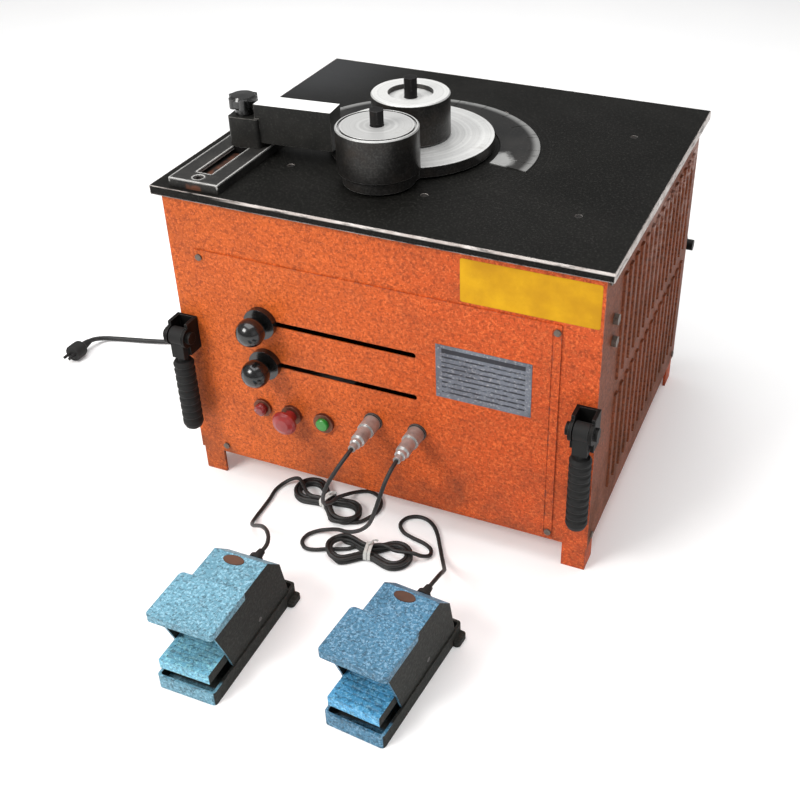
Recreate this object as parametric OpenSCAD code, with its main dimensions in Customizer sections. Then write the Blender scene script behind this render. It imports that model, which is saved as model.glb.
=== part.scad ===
// Bench-top rebar bender: a geared turntable with a bending roller, two angle
// setting knobs, and two foot pedals on free cords. Millimetres, +Z up.
// Origin: on the floor, at the centre of the footprint of machine and pedals.

/* [Table] */
// Width of the table plate, left to right
table_w = 600; // [590:5:640]
// Depth of the table plate, front to back
table_d = 505; // [495:5:540]
// Thickness of the table plate
table_t = 12; // [10:1:14]
// Height of the table's top face above the floor
table_top = 455; // [450:1:465]

/* [Body] */
// How far the body's sides stand in from the table's edges
side_inset = 10; // [8:1:14]
// How far the body's front stands in from the table's front edge
front_inset = 8; // [6:1:12]
// How far the body's back stands in from the table's back edge
back_inset = 12; // [8:1:16]
// Thickness of the sheet-metal covers
sheet_t = 2; // [1.5:0.5:3]
// Free height of the legs below the covers
leg_h = 40; // [30:2:50]
// Flange width of the angle-steel corner posts
post_w = 32; // [28:1:36]

/* [Turntable and rollers] */
// Diameter of the turntable
disc_d = 220; // [200:2:226]
// Thickness of the turntable
disc_t = 14; // [12:1:16]
// Distance from the spindle axis to the bending pin
pin_radius = 118; // [114:1:122]
// Direction of the bending pin at rest, from +X
home_angle = -86; // [-95:1:-80]
// Outside diameter of the two rollers
roller_d = 104; // [90:1:104]
// Height of the two rollers
roller_h = 57; // [50:1:65]

/* [Gears] */
// Module of the spindle gear
spindle_module = 4; // [4:1:4]
// Teeth on the spindle gear and on the second shaft's gear
big_teeth = 60; // [60:1:60]
// Teeth on the pinions
small_teeth = 12; // [12:1:12]
// Teeth on the trip gear that drives the rack
trip_teeth = 44; // [44:1:44]

/* [Controls] */
// Length of the two angle-setting slots
slot_len = 226; // [215:1:235]
// Height of the two angle-setting slots
slot_h = 8; // [8:0.5:9]
// Diameter of the ball knobs
ball_d = 38; // [32:1:40]
// Travel of the ball knobs along the slots
knob_travel = 205; // [190:1:206]

/* [Fence] */
// Width of the slotted base that the fence slides on
fence_base_w = 70; // [66:1:74]
// Swivel angle of the fence at rest
fence_angle = 5; // [0:1:8]

/* [Carrying handles] */
// Distance of each front handle from the machine's centre line
front_handle_x = 280; // [274:1:284]
// Height of the front handles' pivots
front_pivot_z = 246; // [240:1:264]
// Distance of each rear handle from the machine's centre line
rear_handle_x = 266; // [260:1:268]
// Height of the rear handles' pivots
rear_pivot_z = 220; // [212:1:262]
// Diameter of the rubber grips
grip_d = 28; // [26:1:30]

/* [Pedals] */
// Width of a pedal's base
pedal_w = 78; // [76:1:84]
// Length of a pedal's base
pedal_l = 190; // [190:1:190]
// Height of the hood's top above the floor
hood_top = 104; // [100:1:108]

/* [Cords] */
// Diameter of the pedal cords
pedal_cord_d = 5.5; // [5:0.5:6]
// Diameter of the mains cord
mains_cord_d = 8; // [7.5:0.5:8.5]

/* [Hidden] */
$fn = 64;
eps = 0.01;
run_gap = 0.05;

// Colours
orange = [0.85, 0.34, 0.12];
black_steel = [0.10, 0.10, 0.10];
bright_steel = [0.78, 0.78, 0.76];
dark_steel = [0.22, 0.22, 0.23];
cast_grey = [0.42, 0.45, 0.47];
rubber_black = [0.06, 0.06, 0.06];
pedal_blue = [0.27, 0.54, 0.71];
plate_blue = [0.62, 0.69, 0.76];
zinc = [0.72, 0.73, 0.74];
bronze = [0.66, 0.50, 0.28];
red_plastic = [0.72, 0.10, 0.10];
green_plastic = [0.15, 0.62, 0.20];

// Table and body, worked out from the driving sizes
machine_y = 155.5;
table_front = machine_y - table_d / 2;
table_back = machine_y + table_d / 2;
plate_under = table_top - table_t;
body_x = table_w / 2 - side_inset;
body_front = table_front + front_inset;
body_back = table_back - back_inset;
inner_x = body_x - sheet_t;
inner_front = body_front + sheet_t;
inner_back = body_back - sheet_t;
post_t = 4;
rail_h = 26;

// Turntable stack
spindle_x = -46;
spindle_y = 137;
scale_t = 1.5;
disc_z = table_top + 3;
disc_top = disc_z + disc_t;
roller_z = disc_top + 1;
roller_top = roller_z + roller_h;
stud_top = roller_top + 20;
journal_d = 36;
pin_d = 30;
spindle_d = 60;
pin_pos = [pin_radius * cos(home_angle), pin_radius * sin(home_angle)];

// Gear train: stub teeth with a 25 degree pressure angle
press_angle = 25;
backlash = 0.12;
second_module = 3;
spindle_pitch_r = spindle_module * big_teeth / 2;
second_pitch_r = second_module * big_teeth / 2;
trip_module = 3;
trip_pitch_r = trip_module * trip_teeth / 2;
second_dir = 20;
motor_dir = 10;
second_dist = spindle_module * (big_teeth + small_teeth) / 2;
motor_dist = second_module * (big_teeth + small_teeth) / 2;
second_x = spindle_x + second_dist * cos(second_dir);
second_y = spindle_y + second_dist * sin(second_dir);
motor_x = second_x + motor_dist * cos(motor_dir);
motor_y = second_y + motor_dist * sin(motor_dir);
case_x0 = -184;
case_x1 = 240;
case_y0 = -2;
case_y1 = 296;
case_z0 = 290;
case_wall = 8;
lid_t = 14;
lid_z = plate_under - lid_t;
rack_pitch_y = spindle_y - trip_pitch_r;
rack_z = 262;
rack_h = 18;

// Controls on the front
panel_x0 = -253;
panel_x1 = 242;
panel_z0 = 46;
panel_z1 = 371;
panel_t = 2;
panel_face = body_front - panel_t;
knob_x = -162;
upper_slot_z = 283;
lower_slot_z = 219;
slot_x0 = knob_x - 8;
button_z = 142;
lamp_x = -176;
stop_x = -131;
start_x = -82;
socket_z = 165;
socket_xs = [-8, 55];
plug_len = 64;

// Fence
fence_x = -240;
stud_y = 42;
fence_z = table_top + 12;

// Pedals: [x, y, turn about Z]
pedal_places = [[-80, -360, 0], [133, -338, -5]];
hinge_y = 14;
hinge_z = 34;
gland_y = 92;
gland_z = 62;

// Routes of the free cords, by hand
left_route_a = [
    [-8, -155, 165], [-9, -170, 163], [-15, -183, 152], [-25, -190, 132], [-36, -186, 106],
    [-47, -171, 78], [-56, -149, 53], [-62, -124, 34], [-65, -100, 22], [-64, -80, 11],
    [-57, -63, 4], [-42, -54, 2.8], [-25, -58, 2.8], [-14, -71, 2.8], [-12, -88, 2.8],
    [-18, -105, 2.8], [-28, -118, 2.8]
];
left_route_b = [
    [-141, -77, 13.8], [-153, -77, 9], [-163, -85, 4], [-167, -100, 2.8], [-165, -120, 2.8],
    [-164, -140, 2.8], [-163, -160, 3.5], [-158, -178, 9], [-147, -192, 20], [-131, -204, 35],
    [-115, -216, 49], [-100, -229, 58], [-89, -243, 61.5], [-84, -256, 62], [-84, -268, 62]
];
right_route_a = [
    [55, -155, 165], [55, -170, 163.5], [53, -184, 154], [49, -193, 136], [42, -196, 112],
    [32, -192, 86], [17, -184, 63], [-1, -175, 44], [-19, -165, 29], [-37, -155, 18],
    [-54, -150, 8], [-70, -154, 3.5], [-80, -166, 2.8], [-80, -180, 2.8], [-70, -189, 2.8],
    [-56, -187, 2.8], [-44, -181, 2.8]
];
right_route_b = [
    [72, -155, 13.8], [84, -151, 9], [91, -141, 4], [87, -129, 2.8], [74, -122, 2.8],
    [56, -118, 2.8], [39, -112, 2.8], [29, -100, 2.8], [31, -86, 2.8], [43, -77, 2.8],
    [58, -77, 2.8], [72, -85, 2.8], [84, -99, 2.8], [95, -117, 2.8], [106, -136, 4],
    [117, -156, 11], [127, -176, 24], [134, -196, 41], [138, -215, 55], [138.6, -231, 61],
    [137, -246, 62]
];
mains_route_a = [
    [-205, 422, 80], [-205, 438, 79], [-205, 453, 73], [-207, 466, 61], [-210, 476, 46],
    [-211, 486, 32], [-206, 496, 24]
];
mains_route_b = [
    [-178, 434, 4], [-200, 433, 4], [-226, 430, 4], [-255, 424, 4], [-286, 414, 4],
    [-318, 396, 4], [-350, 370, 4], [-382, 338, 4], [-412, 302, 4], [-440, 264, 4],
    [-466, 228, 4], [-494, 194, 4], [-526, 171, 4], [-560, 159, 4], [-594, 150, 4],
    [-625, 141, 4.5], [-636.1, 134.3, 6.5], [-644.2, 123.4, 10], [-647.4, 112, 13.2], [-647.7, 106, 14]
];
coil_place = [-170, 484];
coil_ring_r = 42;
coil_bundle = 24;
left_hank_place = [-84, -97.5, -20];
right_hank_place = [14, -168, 12];
hank_len = 120;
hank_w = 50;
hank_h = 16.5;
hank_waist = 24;
plug_place = [-647.7, 106, 14];
plug_turn = 268;

// ---------------------------------------------------------------- helpers

// A box given by its low and high corners
module span(low, high) {
    translate(low) cube(high - low);
}

// A cylinder on the Z axis between two heights
module post(d, z0, z1) {
    translate([0, 0, z0]) cylinder(h = z1 - z0, d = d);
}

// A cylinder along +Y from y0 to y1 at x and z
module rod_y(x, z, d, y0, y1) {
    translate([x, y0, z]) rotate([-90, 0, 0]) cylinder(h = y1 - y0, d = d);
}

// A cylinder along +X from x0 to x1 at y and z
module rod_x(y, z, d, x0, x1) {
    translate([x0, y, z]) rotate([0, 90, 0]) cylinder(h = x1 - x0, d = d);
}

// A rounded box that stands on z0, with round vertical edges
module round_box(low, high, r) {
    size = high - low;
    translate(low) union() {
        translate([r, 0, 0]) cube([size.x - 2 * r, size.y, size.z]);
        translate([0, r, 0]) cube([size.x, size.y - 2 * r, size.z]);
        for (x = [r, size.x - r], y = [r, size.y - r]) {
            translate([x, y, 0]) cylinder(h = size.z, r = r);
        }
    }
}

module at_spindle() {
    translate([spindle_x, spindle_y, 0]) children();
}

module at_pedal(place) {
    translate([place.x, place.y, 0]) rotate([0, 0, place.z]) children();
}

// Involute tooth outline
function polar(r, a) = [r * cos(a), r * sin(a)];
function involute(a) = tan(a) * 180 / PI - a;
function half_tooth(z, m, r) =
    let (rp = m * z / 2, rb = rp * cos(press_angle), ra = max(r, rb))
    90 / z - backlash / rp * 180 / PI + involute(press_angle) - involute(acos(rb / ra));
function gear_radii(z, m) =
    let (rp = m * z / 2, root = rp - m, tip = rp + 0.8 * m,
         low = max(root, rp * cos(press_angle)))
    concat(low > root + 0.05 ? [root] : [], [for (k = [0:3]) low + (tip - low) * k / 3]);
function gear_outline(z, m) =
    let (radii = gear_radii(z, m), n = len(radii) - 1)
    [for (i = [0:z - 1]) each concat(
        [for (k = [0:n]) polar(radii[k], i * 360 / z - half_tooth(z, m, radii[k]))],
        [for (k = [n:-1:0]) polar(radii[k], i * 360 / z + half_tooth(z, m, radii[k]))]
    )];

// A spur gear between two heights, with one tooth at the given direction
module spur(z, m, z0, z1, direction) {
    rotate([0, 0, direction]) translate([0, 0, z0])
        linear_extrude(z1 - z0) polygon(gear_outline(z, m));
}

// A tube of straight stretches swept along a route's own points
tube_sides = 8;
function unit(v) = v / norm(v);
function clamp(i, n) = max(0, min(n - 1, i));
function heading(p, i) = unit(p[clamp(i + 1, len(p))] - p[clamp(i - 1, len(p))]);
function carry(n, t) = unit(n - (n * t) * t);
function normals(p, i = 0, n = [0.31, 0.22, 1]) =
    i == len(p) ? [] : let (m = carry(n, heading(p, i))) concat([m], normals(p, i + 1, m));
function ring(c, t, n, r) =
    let (b = cross(t, n))
    [for (k = [0:tube_sides - 1]) c + r * (cos(k * 360 / tube_sides) * n + sin(k * 360 / tube_sides) * b)];
module cord_tube(route, d) {
    side = normals(route);
    count = len(route);
    points = [for (i = [0:count - 1]) each ring(route[i], heading(route, i), side[i], d / 2)];
    skin = [for (i = [0:count - 2], k = [0:tube_sides - 1])
        let (a = i * tube_sides + k, b = i * tube_sides + (k + 1) % tube_sides)
        each [[a, a + tube_sides, b], [b, a + tube_sides, b + tube_sides]]];
    first = [for (k = [0:tube_sides - 1]) k];
    last = [for (k = [tube_sides - 1:-1:0]) (count - 1) * tube_sides + k];
    polyhedron(points = points, faces = concat(skin, [first], [last]));
}

// ---------------------------------------------------------------- table and body

lid_bolts = [[-165, 20], [-165, 275], [30, 290], [222, 20], [222, 275], [30, 4]];
fence_bolts = [-76, 94];

module table_plate() {
    color(black_steel) difference() {
        span([-table_w / 2, table_front, plate_under], [table_w / 2, table_back, table_top]);
        at_spindle() post(spindle_d + 4, plate_under - 1, table_top + 1);
        for (p = lid_bolts) translate(p) post(10, plate_under - 1, table_top + 1);
        for (y = fence_bolts) translate([fence_x, y]) post(8, plate_under - 1, table_top + 1);
    }
}

// One angle-steel post, its outer corner at the origin and flanges along +X and +Y
module angle_post() {
    span([0, 0, 0], [post_w, post_t, plate_under]);
    span([0, post_t - eps, 0], [post_t, post_w, plate_under]);
}

module corner_posts() {
    color(orange) for (sx = [-1, 1], sy = [-1, 1]) {
        translate([sx * inner_x, sy < 0 ? inner_front : inner_back, 0])
            mirror([sx > 0 ? 1 : 0, 0, 0]) mirror([0, sy > 0 ? 1 : 0, 0]) angle_post();
    }
}

module frame_rails() {
    rail_t = 4;
    color(orange) for (z = [leg_h, plate_under - rail_h]) {
        for (sx = [-1, 1]) {
            x = sx > 0 ? inner_x - rail_t : -inner_x;
            span([x, inner_front + post_w, z], [x + rail_t, inner_back - post_w, z + rail_h]);
        }
        span([-inner_x + post_w, inner_back - rail_t, z], [inner_x - post_w, inner_back, z + rail_h]);
    }
}

module bottom_plate() {
    edge = post_t + 0.5;
    color(orange) difference() {
        span([-inner_x + edge, inner_front + edge, leg_h],
             [inner_x - edge, inner_back - edge, leg_h + 3]);
        for (i = [0:9]) translate([motor_x - 54 + 12 * i, motor_y - 50, leg_h])
            span([-2.5, 0, -1], [2.5, 100, 4]);
    }
}

module front_panel() {
    flange = 10;
    color(orange) difference() {
        span([-body_x, body_front, leg_h], [body_x, inner_front, plate_under]);
        span([panel_x0 + flange, body_front - 1, panel_z0 + flange],
             [panel_x1 - flange, inner_front + 1, panel_z1 - flange]);
    }
}

module slot_cut(z) {
    for (x = [slot_x0 + slot_h / 2, slot_x0 + slot_len - slot_h / 2]) {
        rod_y(x, z, slot_h, panel_face - 1, body_front + 1);
    }
    span([slot_x0 + slot_h / 2, panel_face - 1, z - slot_h / 2],
         [slot_x0 + slot_len - slot_h / 2, body_front + 1, z + slot_h / 2]);
}

collar_d = 22;
lamp_d = 22;
socket_d = 20;

module control_panel() {
    color(orange) difference() {
        span([panel_x0, panel_face, panel_z0], [panel_x1, body_front, panel_z1]);
        slot_cut(upper_slot_z);
        slot_cut(lower_slot_z);
        for (x = [lamp_x, stop_x, start_x]) {
            rod_y(x, button_z, collar_d, panel_face - 1, body_front + 1);
        }
        for (x = socket_xs) rod_y(x, socket_z, socket_d, panel_face - 1, body_front + 1);
        span([panel_x1 - 11, panel_face - 1, panel_z0 + 6],
             [panel_x1 - 9.5, panel_face + 0.8, panel_z1 - 6]);
    }
}

// Raised upright louvres in a side cover, pressed out of the sheet
module louvres(rows, columns, pitch, low, high) {
    for (r = rows, i = [0:columns - 1]) {
        translate([0, low + i * pitch, r.x]) intersection() {
            cylinder(h = r.y - r.x, r = 6);
            translate([-1, -6, 0]) cube([5, high, r.y - r.x]);
        }
    }
}

side_rows = [[82, 232], [256, 406]];
module side_cover() {
    span([0, body_front + sheet_t, leg_h], [sheet_t, body_back - sheet_t, plate_under]);
    translate([sheet_t - 1, 0, 0]) louvres(side_rows, 15, 26, -4, 12);
}

module right_cover() {
    color(orange) translate([body_x - sheet_t, 0, 0]) side_cover();
}

module left_cover() {
    color(orange) translate([-body_x + sheet_t, 0, 0]) mirror([1, 0, 0]) side_cover();
}

gland_hole = [-205, 80];
module back_cover() {
    color(orange) difference() {
        union() {
            span([-body_x, inner_back, leg_h], [body_x, body_back, plate_under]);
            translate([0, inner_back + 1, 0]) rotate([0, 0, 90])
                louvres([[120, 250], [280, 400]], 15, 26, -182, 12);
        }
        rod_y(gland_hole.x, gland_hole.y, 16, inner_back - 1, body_back + 1);
    }
}

// A cap screw whose round head stands out along +Z from the origin
module cap_screw(head, head_h, shank, length) {
    difference() {
        cylinder(h = head_h, d = head);
        translate([0, 0, head_h * 0.45]) cylinder(h = head_h, d = head * 0.55, $fn = 6);
    }
    translate([0, 0, -length]) cylinder(h = length + eps, d = shank);
}

module panel_screws() {
    color(zinc) {
        for (x = [panel_x0 + 7, panel_x1 - 5], z = [panel_z0 + 8, panel_z1 - 10]) {
            translate([x, panel_face, z]) rotate([90, 0, 0]) cylinder(h = 2.4, d = 9);
        }
        for (sx = [-1, 1], z = [333, 364]) {
            translate([sx * body_x, -42, z]) rotate([0, sx * 90, 0])
                cylinder(h = 6, d = 15, $fn = 6);
        }
        for (sx = [-1, 1], y = [inner_front + 14, inner_back - 14], z = [leg_h + 12, plate_under - 12]) {
            translate([sx * body_x, y, z]) rotate([0, sx * 90, 0]) cylinder(h = 2.4, d = 9);
        }
        for (sx = [-1, 1], z = [leg_h + 12, plate_under - 12]) {
            translate([sx * (body_x - 14), body_back, z]) rotate([-90, 0, 0]) cylinder(h = 2.4, d = 9);
        }
        for (p = lid_bolts) translate([p.x, p.y, table_top - 1.5]) cap_screw(10, 1, 9.8, 24);
        for (y = fence_bolts) translate([fence_x, y, table_top + 6]) cap_screw(13, 5, 8, 18);
    }
}

module data_plate() {
    color(plate_blue) {
        span([83, panel_face - 0.8, 231], [208, panel_face, 309]);
        for (x = [87, 204], z = [235, 305]) rod_y(x, z, 4, panel_face - 1.8, panel_face - 0.8 + eps);
    }
}

// Thin ring sector with a cut at every fifteenth degree
module angle_scale() {
    scale_from = -8;
    scale_to = 184;
    color(dark_steel) at_spindle() difference() {
        rotate([0, 0, scale_from]) rotate_extrude(angle = scale_to - scale_from)
            translate([118, table_top]) square([53, scale_t]);
        for (a = [0:15:180]) rotate([0, 0, a])
            span([a % 45 == 0 ? 146 : 156, -0.6, table_top + scale_t - 0.6], [172, 0.6, table_top + 3]);
    }
}

// ---------------------------------------------------------------- gearbox

lower_journal_d = 45;
second_shaft_d = 25;
motor_shaft_d = 22;
bearing_t = 10;

module gearbox_case() {
    rack_low = rack_pitch_y - 26;
    color(cast_grey) {
        difference() {
            round_box([case_x0, case_y0, case_z0], [case_x1, case_y1, lid_z], 20);
            round_box([case_x0 + case_wall, case_y0 + case_wall, case_z0 + bearing_t],
                      [case_x1 - case_wall, case_y1 - case_wall, lid_z + 1], 12);
            at_spindle() post(75, case_z0 - 1, case_z0 + bearing_t + 1);
            translate([second_x, second_y]) post(47, case_z0 + 2, case_z0 + bearing_t + 1);
            translate([motor_x, motor_y]) post(motor_shaft_d + 6, case_z0 - 1, case_z0 + bearing_t + 1);
        }
        // Two hangers that the trip rack slides in
        for (x = [-152, 40]) difference() {
            span([x, rack_low, rack_z - 12], [x + 20, rack_pitch_y + 14, case_z0 + eps]);
            span([x - 1, rack_low + 7, rack_z - 0.3], [x + 21, rack_pitch_y + 5, case_z0 - 1]);
            span([x - 1, rack_low - 1, rack_z + rack_h - 2], [x + 21, rack_pitch_y + 5, case_z0 + 1]);
        }
    }
}

module gearbox_lid() {
    color(cast_grey) difference() {
        round_box([case_x0, case_y0, lid_z], [case_x1, case_y1, plate_under], 20);
        at_spindle() {
            post(spindle_d + 4, lid_z - 1, plate_under + 1);
            post(95, lid_z - 1, lid_z + bearing_t);
        }
        translate([second_x, second_y]) post(47, lid_z - 1, lid_z + bearing_t);
        for (p = lid_bolts) translate(p) post(10, lid_z - 1, plate_under + 1);
    }
}

module bearing_ring(outer, bore, z0, z1) {
    difference() {
        post(outer, z0, z1);
        post(bore + 2 * run_gap, z0 - 1, z1 + 1);
    }
}

module shaft_bearings() {
    color(bright_steel) {
        at_spindle() {
            bearing_ring(95, spindle_d, lid_z, lid_z + bearing_t);
            bearing_ring(75, lower_journal_d, case_z0, case_z0 + bearing_t);
        }
        translate([second_x, second_y]) {
            bearing_ring(47, second_shaft_d, lid_z, lid_z + bearing_t);
            bearing_ring(47, second_shaft_d, case_z0 + 2, case_z0 + bearing_t);
        }
    }
}

motor_z0 = 96;
motor_d = 150;
module motor_case() {
    color(cast_grey) translate([motor_x, motor_y, 0]) {
        difference() {
            union() {
                post(motor_d, motor_z0, case_z0 - 12);
                post(motor_d + 8, case_z0 - 12, case_z0);
                for (a = [0:15:345]) rotate([0, 0, a])
                    span([motor_d / 2 - 2, -1.5, motor_z0 + 20], [motor_d / 2 + 4, 1.5, case_z0 - 12]);
            }
            post(104, motor_z0 + 8, case_z0 - 12);
            post(motor_shaft_d + 2 * run_gap, motor_z0 + 2, case_z0 + 1);
        }
    }
}

module motor_rotor() {
    pinion_z = 343;
    color(bright_steel) translate([motor_x, motor_y, 0]) {
        post(motor_shaft_d, motor_z0 + 4, pinion_z + 28);
        post(96, motor_z0 + 60, case_z0 - 50);
        spur(small_teeth, second_module, pinion_z, pinion_z + 28, motor_dir + 180 + 180 / small_teeth);
        for (a = [0:45:315]) rotate([0, 0, a])
            span([10, -1.2, motor_z0 + 20], [46, 1.2, motor_z0 + 44]);
    }
}

module spindle() {
    color(bright_steel) at_spindle() difference() {
        union() {
            post(spindle_d, case_z0 + bearing_t + 4, disc_top - 2);
            post(lower_journal_d, rack_z - 6, case_z0 + bearing_t + 4 + eps);
        }
        post(pin_d, disc_top - 50, disc_top + 1);
    }
}

module spindle_gear() {
    color(dark_steel) at_spindle() difference() {
        union() {
            spur(big_teeth, spindle_module, 385, 413, second_dir);
            post(96, 377, 421);
        }
        post(spindle_d, 370, 425);
        for (a = [30:60:330]) rotate([0, 0, a]) translate([80, 0, 0]) post(34, 380, 416);
    }
}

module second_gear() {
    color(dark_steel) translate([second_x, second_y, 0]) {
        difference() {
            union() {
                spur(big_teeth, second_module, 346, 366, motor_dir);
                post(50, 340, 372);
            }
            for (a = [15:60:315]) rotate([0, 0, a]) translate([56, 0, 0]) post(26, 342, 370);
        }
        spur(small_teeth, spindle_module, 372 - eps, 416, second_dir + 180 + 180 / small_teeth);
        post(second_shaft_d, case_z0 + 3, lid_z + bearing_t - 1);
    }
}

module trip_gear() {
    color(dark_steel) at_spindle() difference() {
        spur(trip_teeth, trip_module, rack_z, rack_z + rack_h, -90);
        post(lower_journal_d, rack_z - 1, rack_z + rack_h + 1);
    }
}

// Toothed rack under the gearbox, with the arm that reaches the limit switches
module trip_rack() {
    pitch = PI * trip_module;
    rack_x0 = -270;
    rack_teeth = 26;
    low_y = rack_pitch_y - 19;
    root_y = rack_pitch_y - trip_module;
    rise = 1.8 * trip_module;
    half_root = pitch / 4 + tan(press_angle) * trip_module - backlash;
    half_tip = pitch / 4 - tan(press_angle) * 0.8 * trip_module - backlash;
    first = spindle_x + pitch / 2 - pitch * (rack_teeth - 2);
    arm_x = -230;
    color(bronze) {
        span([rack_x0, low_y, rack_z], [first + pitch * (rack_teeth - 0.5), root_y, rack_z + rack_h]);
        for (i = [0:rack_teeth - 1]) translate([first + i * pitch, root_y, rack_z])
            linear_extrude(rack_h) polygon([
                [-half_root, -eps], [half_root, -eps], [half_tip, rise], [-half_tip, rise]
            ]);
        span([arm_x, -44, rack_z + rack_h - eps], [arm_x + 20, low_y + 12, rack_z + rack_h + 6]);
        span([arm_x, -44, 200], [arm_x + 20, -38, rack_z + rack_h + 6]);
    }
}

module bending_pin() {
    color(dark_steel) at_spindle() translate(pin_pos) {
        post(pin_d, disc_z + 1, disc_top + eps);
        post(journal_d, disc_top, roller_top - 9);
        translate([0, 0, roller_top - 9 - eps]) cylinder(h = 9 + 20, d = 17);
        translate([0, 0, roller_top + 4]) cylinder(h = 16, d = 19, $fn = 6);
    }
}

module centre_pin() {
    color(dark_steel) at_spindle() {
        post(pin_d, disc_top - 48, disc_top + eps);
        post(journal_d, disc_top, roller_top - 12);
        translate([0, 0, roller_top - 12 - eps]) cylinder(h = 12 + 20, d = 17);
        translate([0, 0, roller_top + 4]) cylinder(h = 16, d = 19, $fn = 6);
    }
}

// Outline of the round table with its lobe round the bending pin
module turntable_outline() {
    lobe_r = 46;
    circle(d = disc_d);
    translate(pin_pos) circle(r = lobe_r);
    rotate(home_angle) polygon([
        [0, -lobe_r - 14], [pin_radius, -lobe_r + 2],
        [pin_radius, lobe_r - 2], [0, lobe_r + 14]
    ]);
}

module turntable() {
    color(bright_steel) at_spindle() difference() {
        translate([0, 0, disc_z]) linear_extrude(disc_t) turntable_outline();
        post(spindle_d, disc_z - 1, disc_top - 2);
        post(pin_d, disc_top - 3, disc_top + 1);
        translate(pin_pos) post(pin_d, disc_z + 1, disc_top + 1);
    }
}

// A roller with a blind-ended journal bore, a stud hole and a ring or dish in its top
module roller(dish) {
    r = roller_d / 2;
    bore = journal_d / 2 + run_gap;
    cap = dish ? 11.5 : 8.5;
    difference() {
        rotate_extrude() polygon([
            [bore, roller_z], [r - 1.5, roller_z], [r, roller_z + 1.5], [r, roller_top - 1.5],
            [r - 1.5, roller_top], [9, roller_top], [9, roller_top - cap], [bore, roller_top - cap]
        ]);
        if (dish) {
            post(60, roller_top - 7, roller_top + 1);
        } else {
            difference() {
                post(2 * r - 6, roller_top - 3, roller_top + 1);
                post(2 * r - 12, roller_top - 4, roller_top + 2);
            }
        }
    }
}

module centre_roller() {
    color(bright_steel) at_spindle() roller(true);
}

module bending_roller() {
    color(bright_steel) at_spindle() translate(pin_pos) roller(false);
}

// ---------------------------------------------------------------- fence

fence_slot_w = 22;

module fence_base() {
    y0 = -89;
    y1 = 108;
    color(black_steel) difference() {
        span([fence_x - fence_base_w / 2, y0, table_top], [fence_x + fence_base_w / 2, y1, fence_z]);
        span([fence_x - fence_slot_w / 2, y0 + 26, table_top + 1.5],
             [fence_x + fence_slot_w / 2, y1 - 28, fence_z + 1]);
        span([fence_x - fence_slot_w / 2 - 5, y0 + 26, table_top + 1.5],
             [fence_x + fence_slot_w / 2 + 5, y1 - 28, table_top + 7]);
        for (y = fence_bolts) translate([fence_x, y]) {
            post(8, table_top - 1, fence_z + 1);
            post(14, table_top + 6, fence_z + 1);
        }
    }
}

module fence_slider() {
    half = fence_slot_w / 2;
    color(dark_steel) translate([fence_x, stud_y, 0]) {
        span([-half - 4.6, -18, table_top + 1.8], [half + 4.6, 18, table_top + 6.7]);
        span([-half + 0.3, -18, table_top + 6.7 - eps], [half - 0.3, 18, fence_z - 0.2]);
        post(12, fence_z - 0.2 - eps, fence_z + 58);
    }
}

module fence_bar() {
    color(black_steel) translate([fence_x, stud_y, 0]) rotate([0, 0, fence_angle]) difference() {
        union() {
            round_box([-17, -18, fence_z + 0.3], [26, 20, fence_z + 40], 5);
            span([20, -13, disc_top + 2], [126, 20, table_top + 71]);
        }
        post(12 + 2 * run_gap, fence_z - 1, fence_z + 42);
    }
}

// Lobed hand knob on the clamp stud
module clamp_knob() {
    knob_z = fence_z + 40.4;
    color(rubber_black) translate([fence_x, stud_y, 0]) difference() {
        union() {
            post(24, knob_z, knob_z + 9);
            rotate_extrude() translate([0, knob_z + 9 - eps]) polygon([
                [0, 0], [15, 0], [18, 3], [18, 12], [15, 16], [0, 17]
            ]);
            for (a = [0:60:300]) rotate([0, 0, a]) translate([14, 0, 0]) post(12, knob_z + 10, knob_z + 23);
        }
        post(12 + 2 * run_gap, knob_z - 1, knob_z + 18);
    }
}

// ---------------------------------------------------------------- controls

module pilot_lamp() {
    color(red_plastic) {
        rod_y(lamp_x, button_z, 18, panel_face - 9, panel_face + 12);
        translate([lamp_x, panel_face - 9 + eps, button_z]) rotate([90, 0, 0]) rotate_extrude()
            polygon([[0, 0], [9, 0], [8, 2.4], [5, 4], [0, 4.6]]);
    }
}

module collar_ring(x, outer, inner, proud) {
    difference() {
        union() {
            rod_y(x, button_z, outer, panel_face - proud, panel_face);
            rod_y(x, button_z, collar_d, panel_face - eps, panel_face + 34);
        }
        rod_y(x, button_z, inner, panel_face - proud - 1, panel_face + 26);
    }
}

module button_collars() {
    color(zinc) {
        collar_ring(lamp_x, 26, 18, 4);
        collar_ring(stop_x, 29, 18, 5);
        collar_ring(start_x, 29, 18, 5);
    }
}

module stop_button() {
    color(red_plastic) {
        rod_y(stop_x, button_z, 17.6, panel_face - 19, panel_face + 18);
        translate([stop_x, panel_face - 19 + eps, button_z]) rotate([90, 0, 0]) rotate_extrude()
            polygon([[0, 0], [15, 0], [17.5, 2], [17.5, 5], [15, 8.5], [9, 11], [0, 12]]);
    }
}

module start_button() {
    color(green_plastic) {
        rod_y(start_x, button_z, 17.6, panel_face - 8, panel_face + 18);
        translate([start_x, panel_face - 8 + eps, button_z]) rotate([90, 0, 0]) rotate_extrude()
            polygon([[0, 0], [8.8, 0], [8.8, 1], [7.6, 2], [0, 2.4]]);
    }
}

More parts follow.
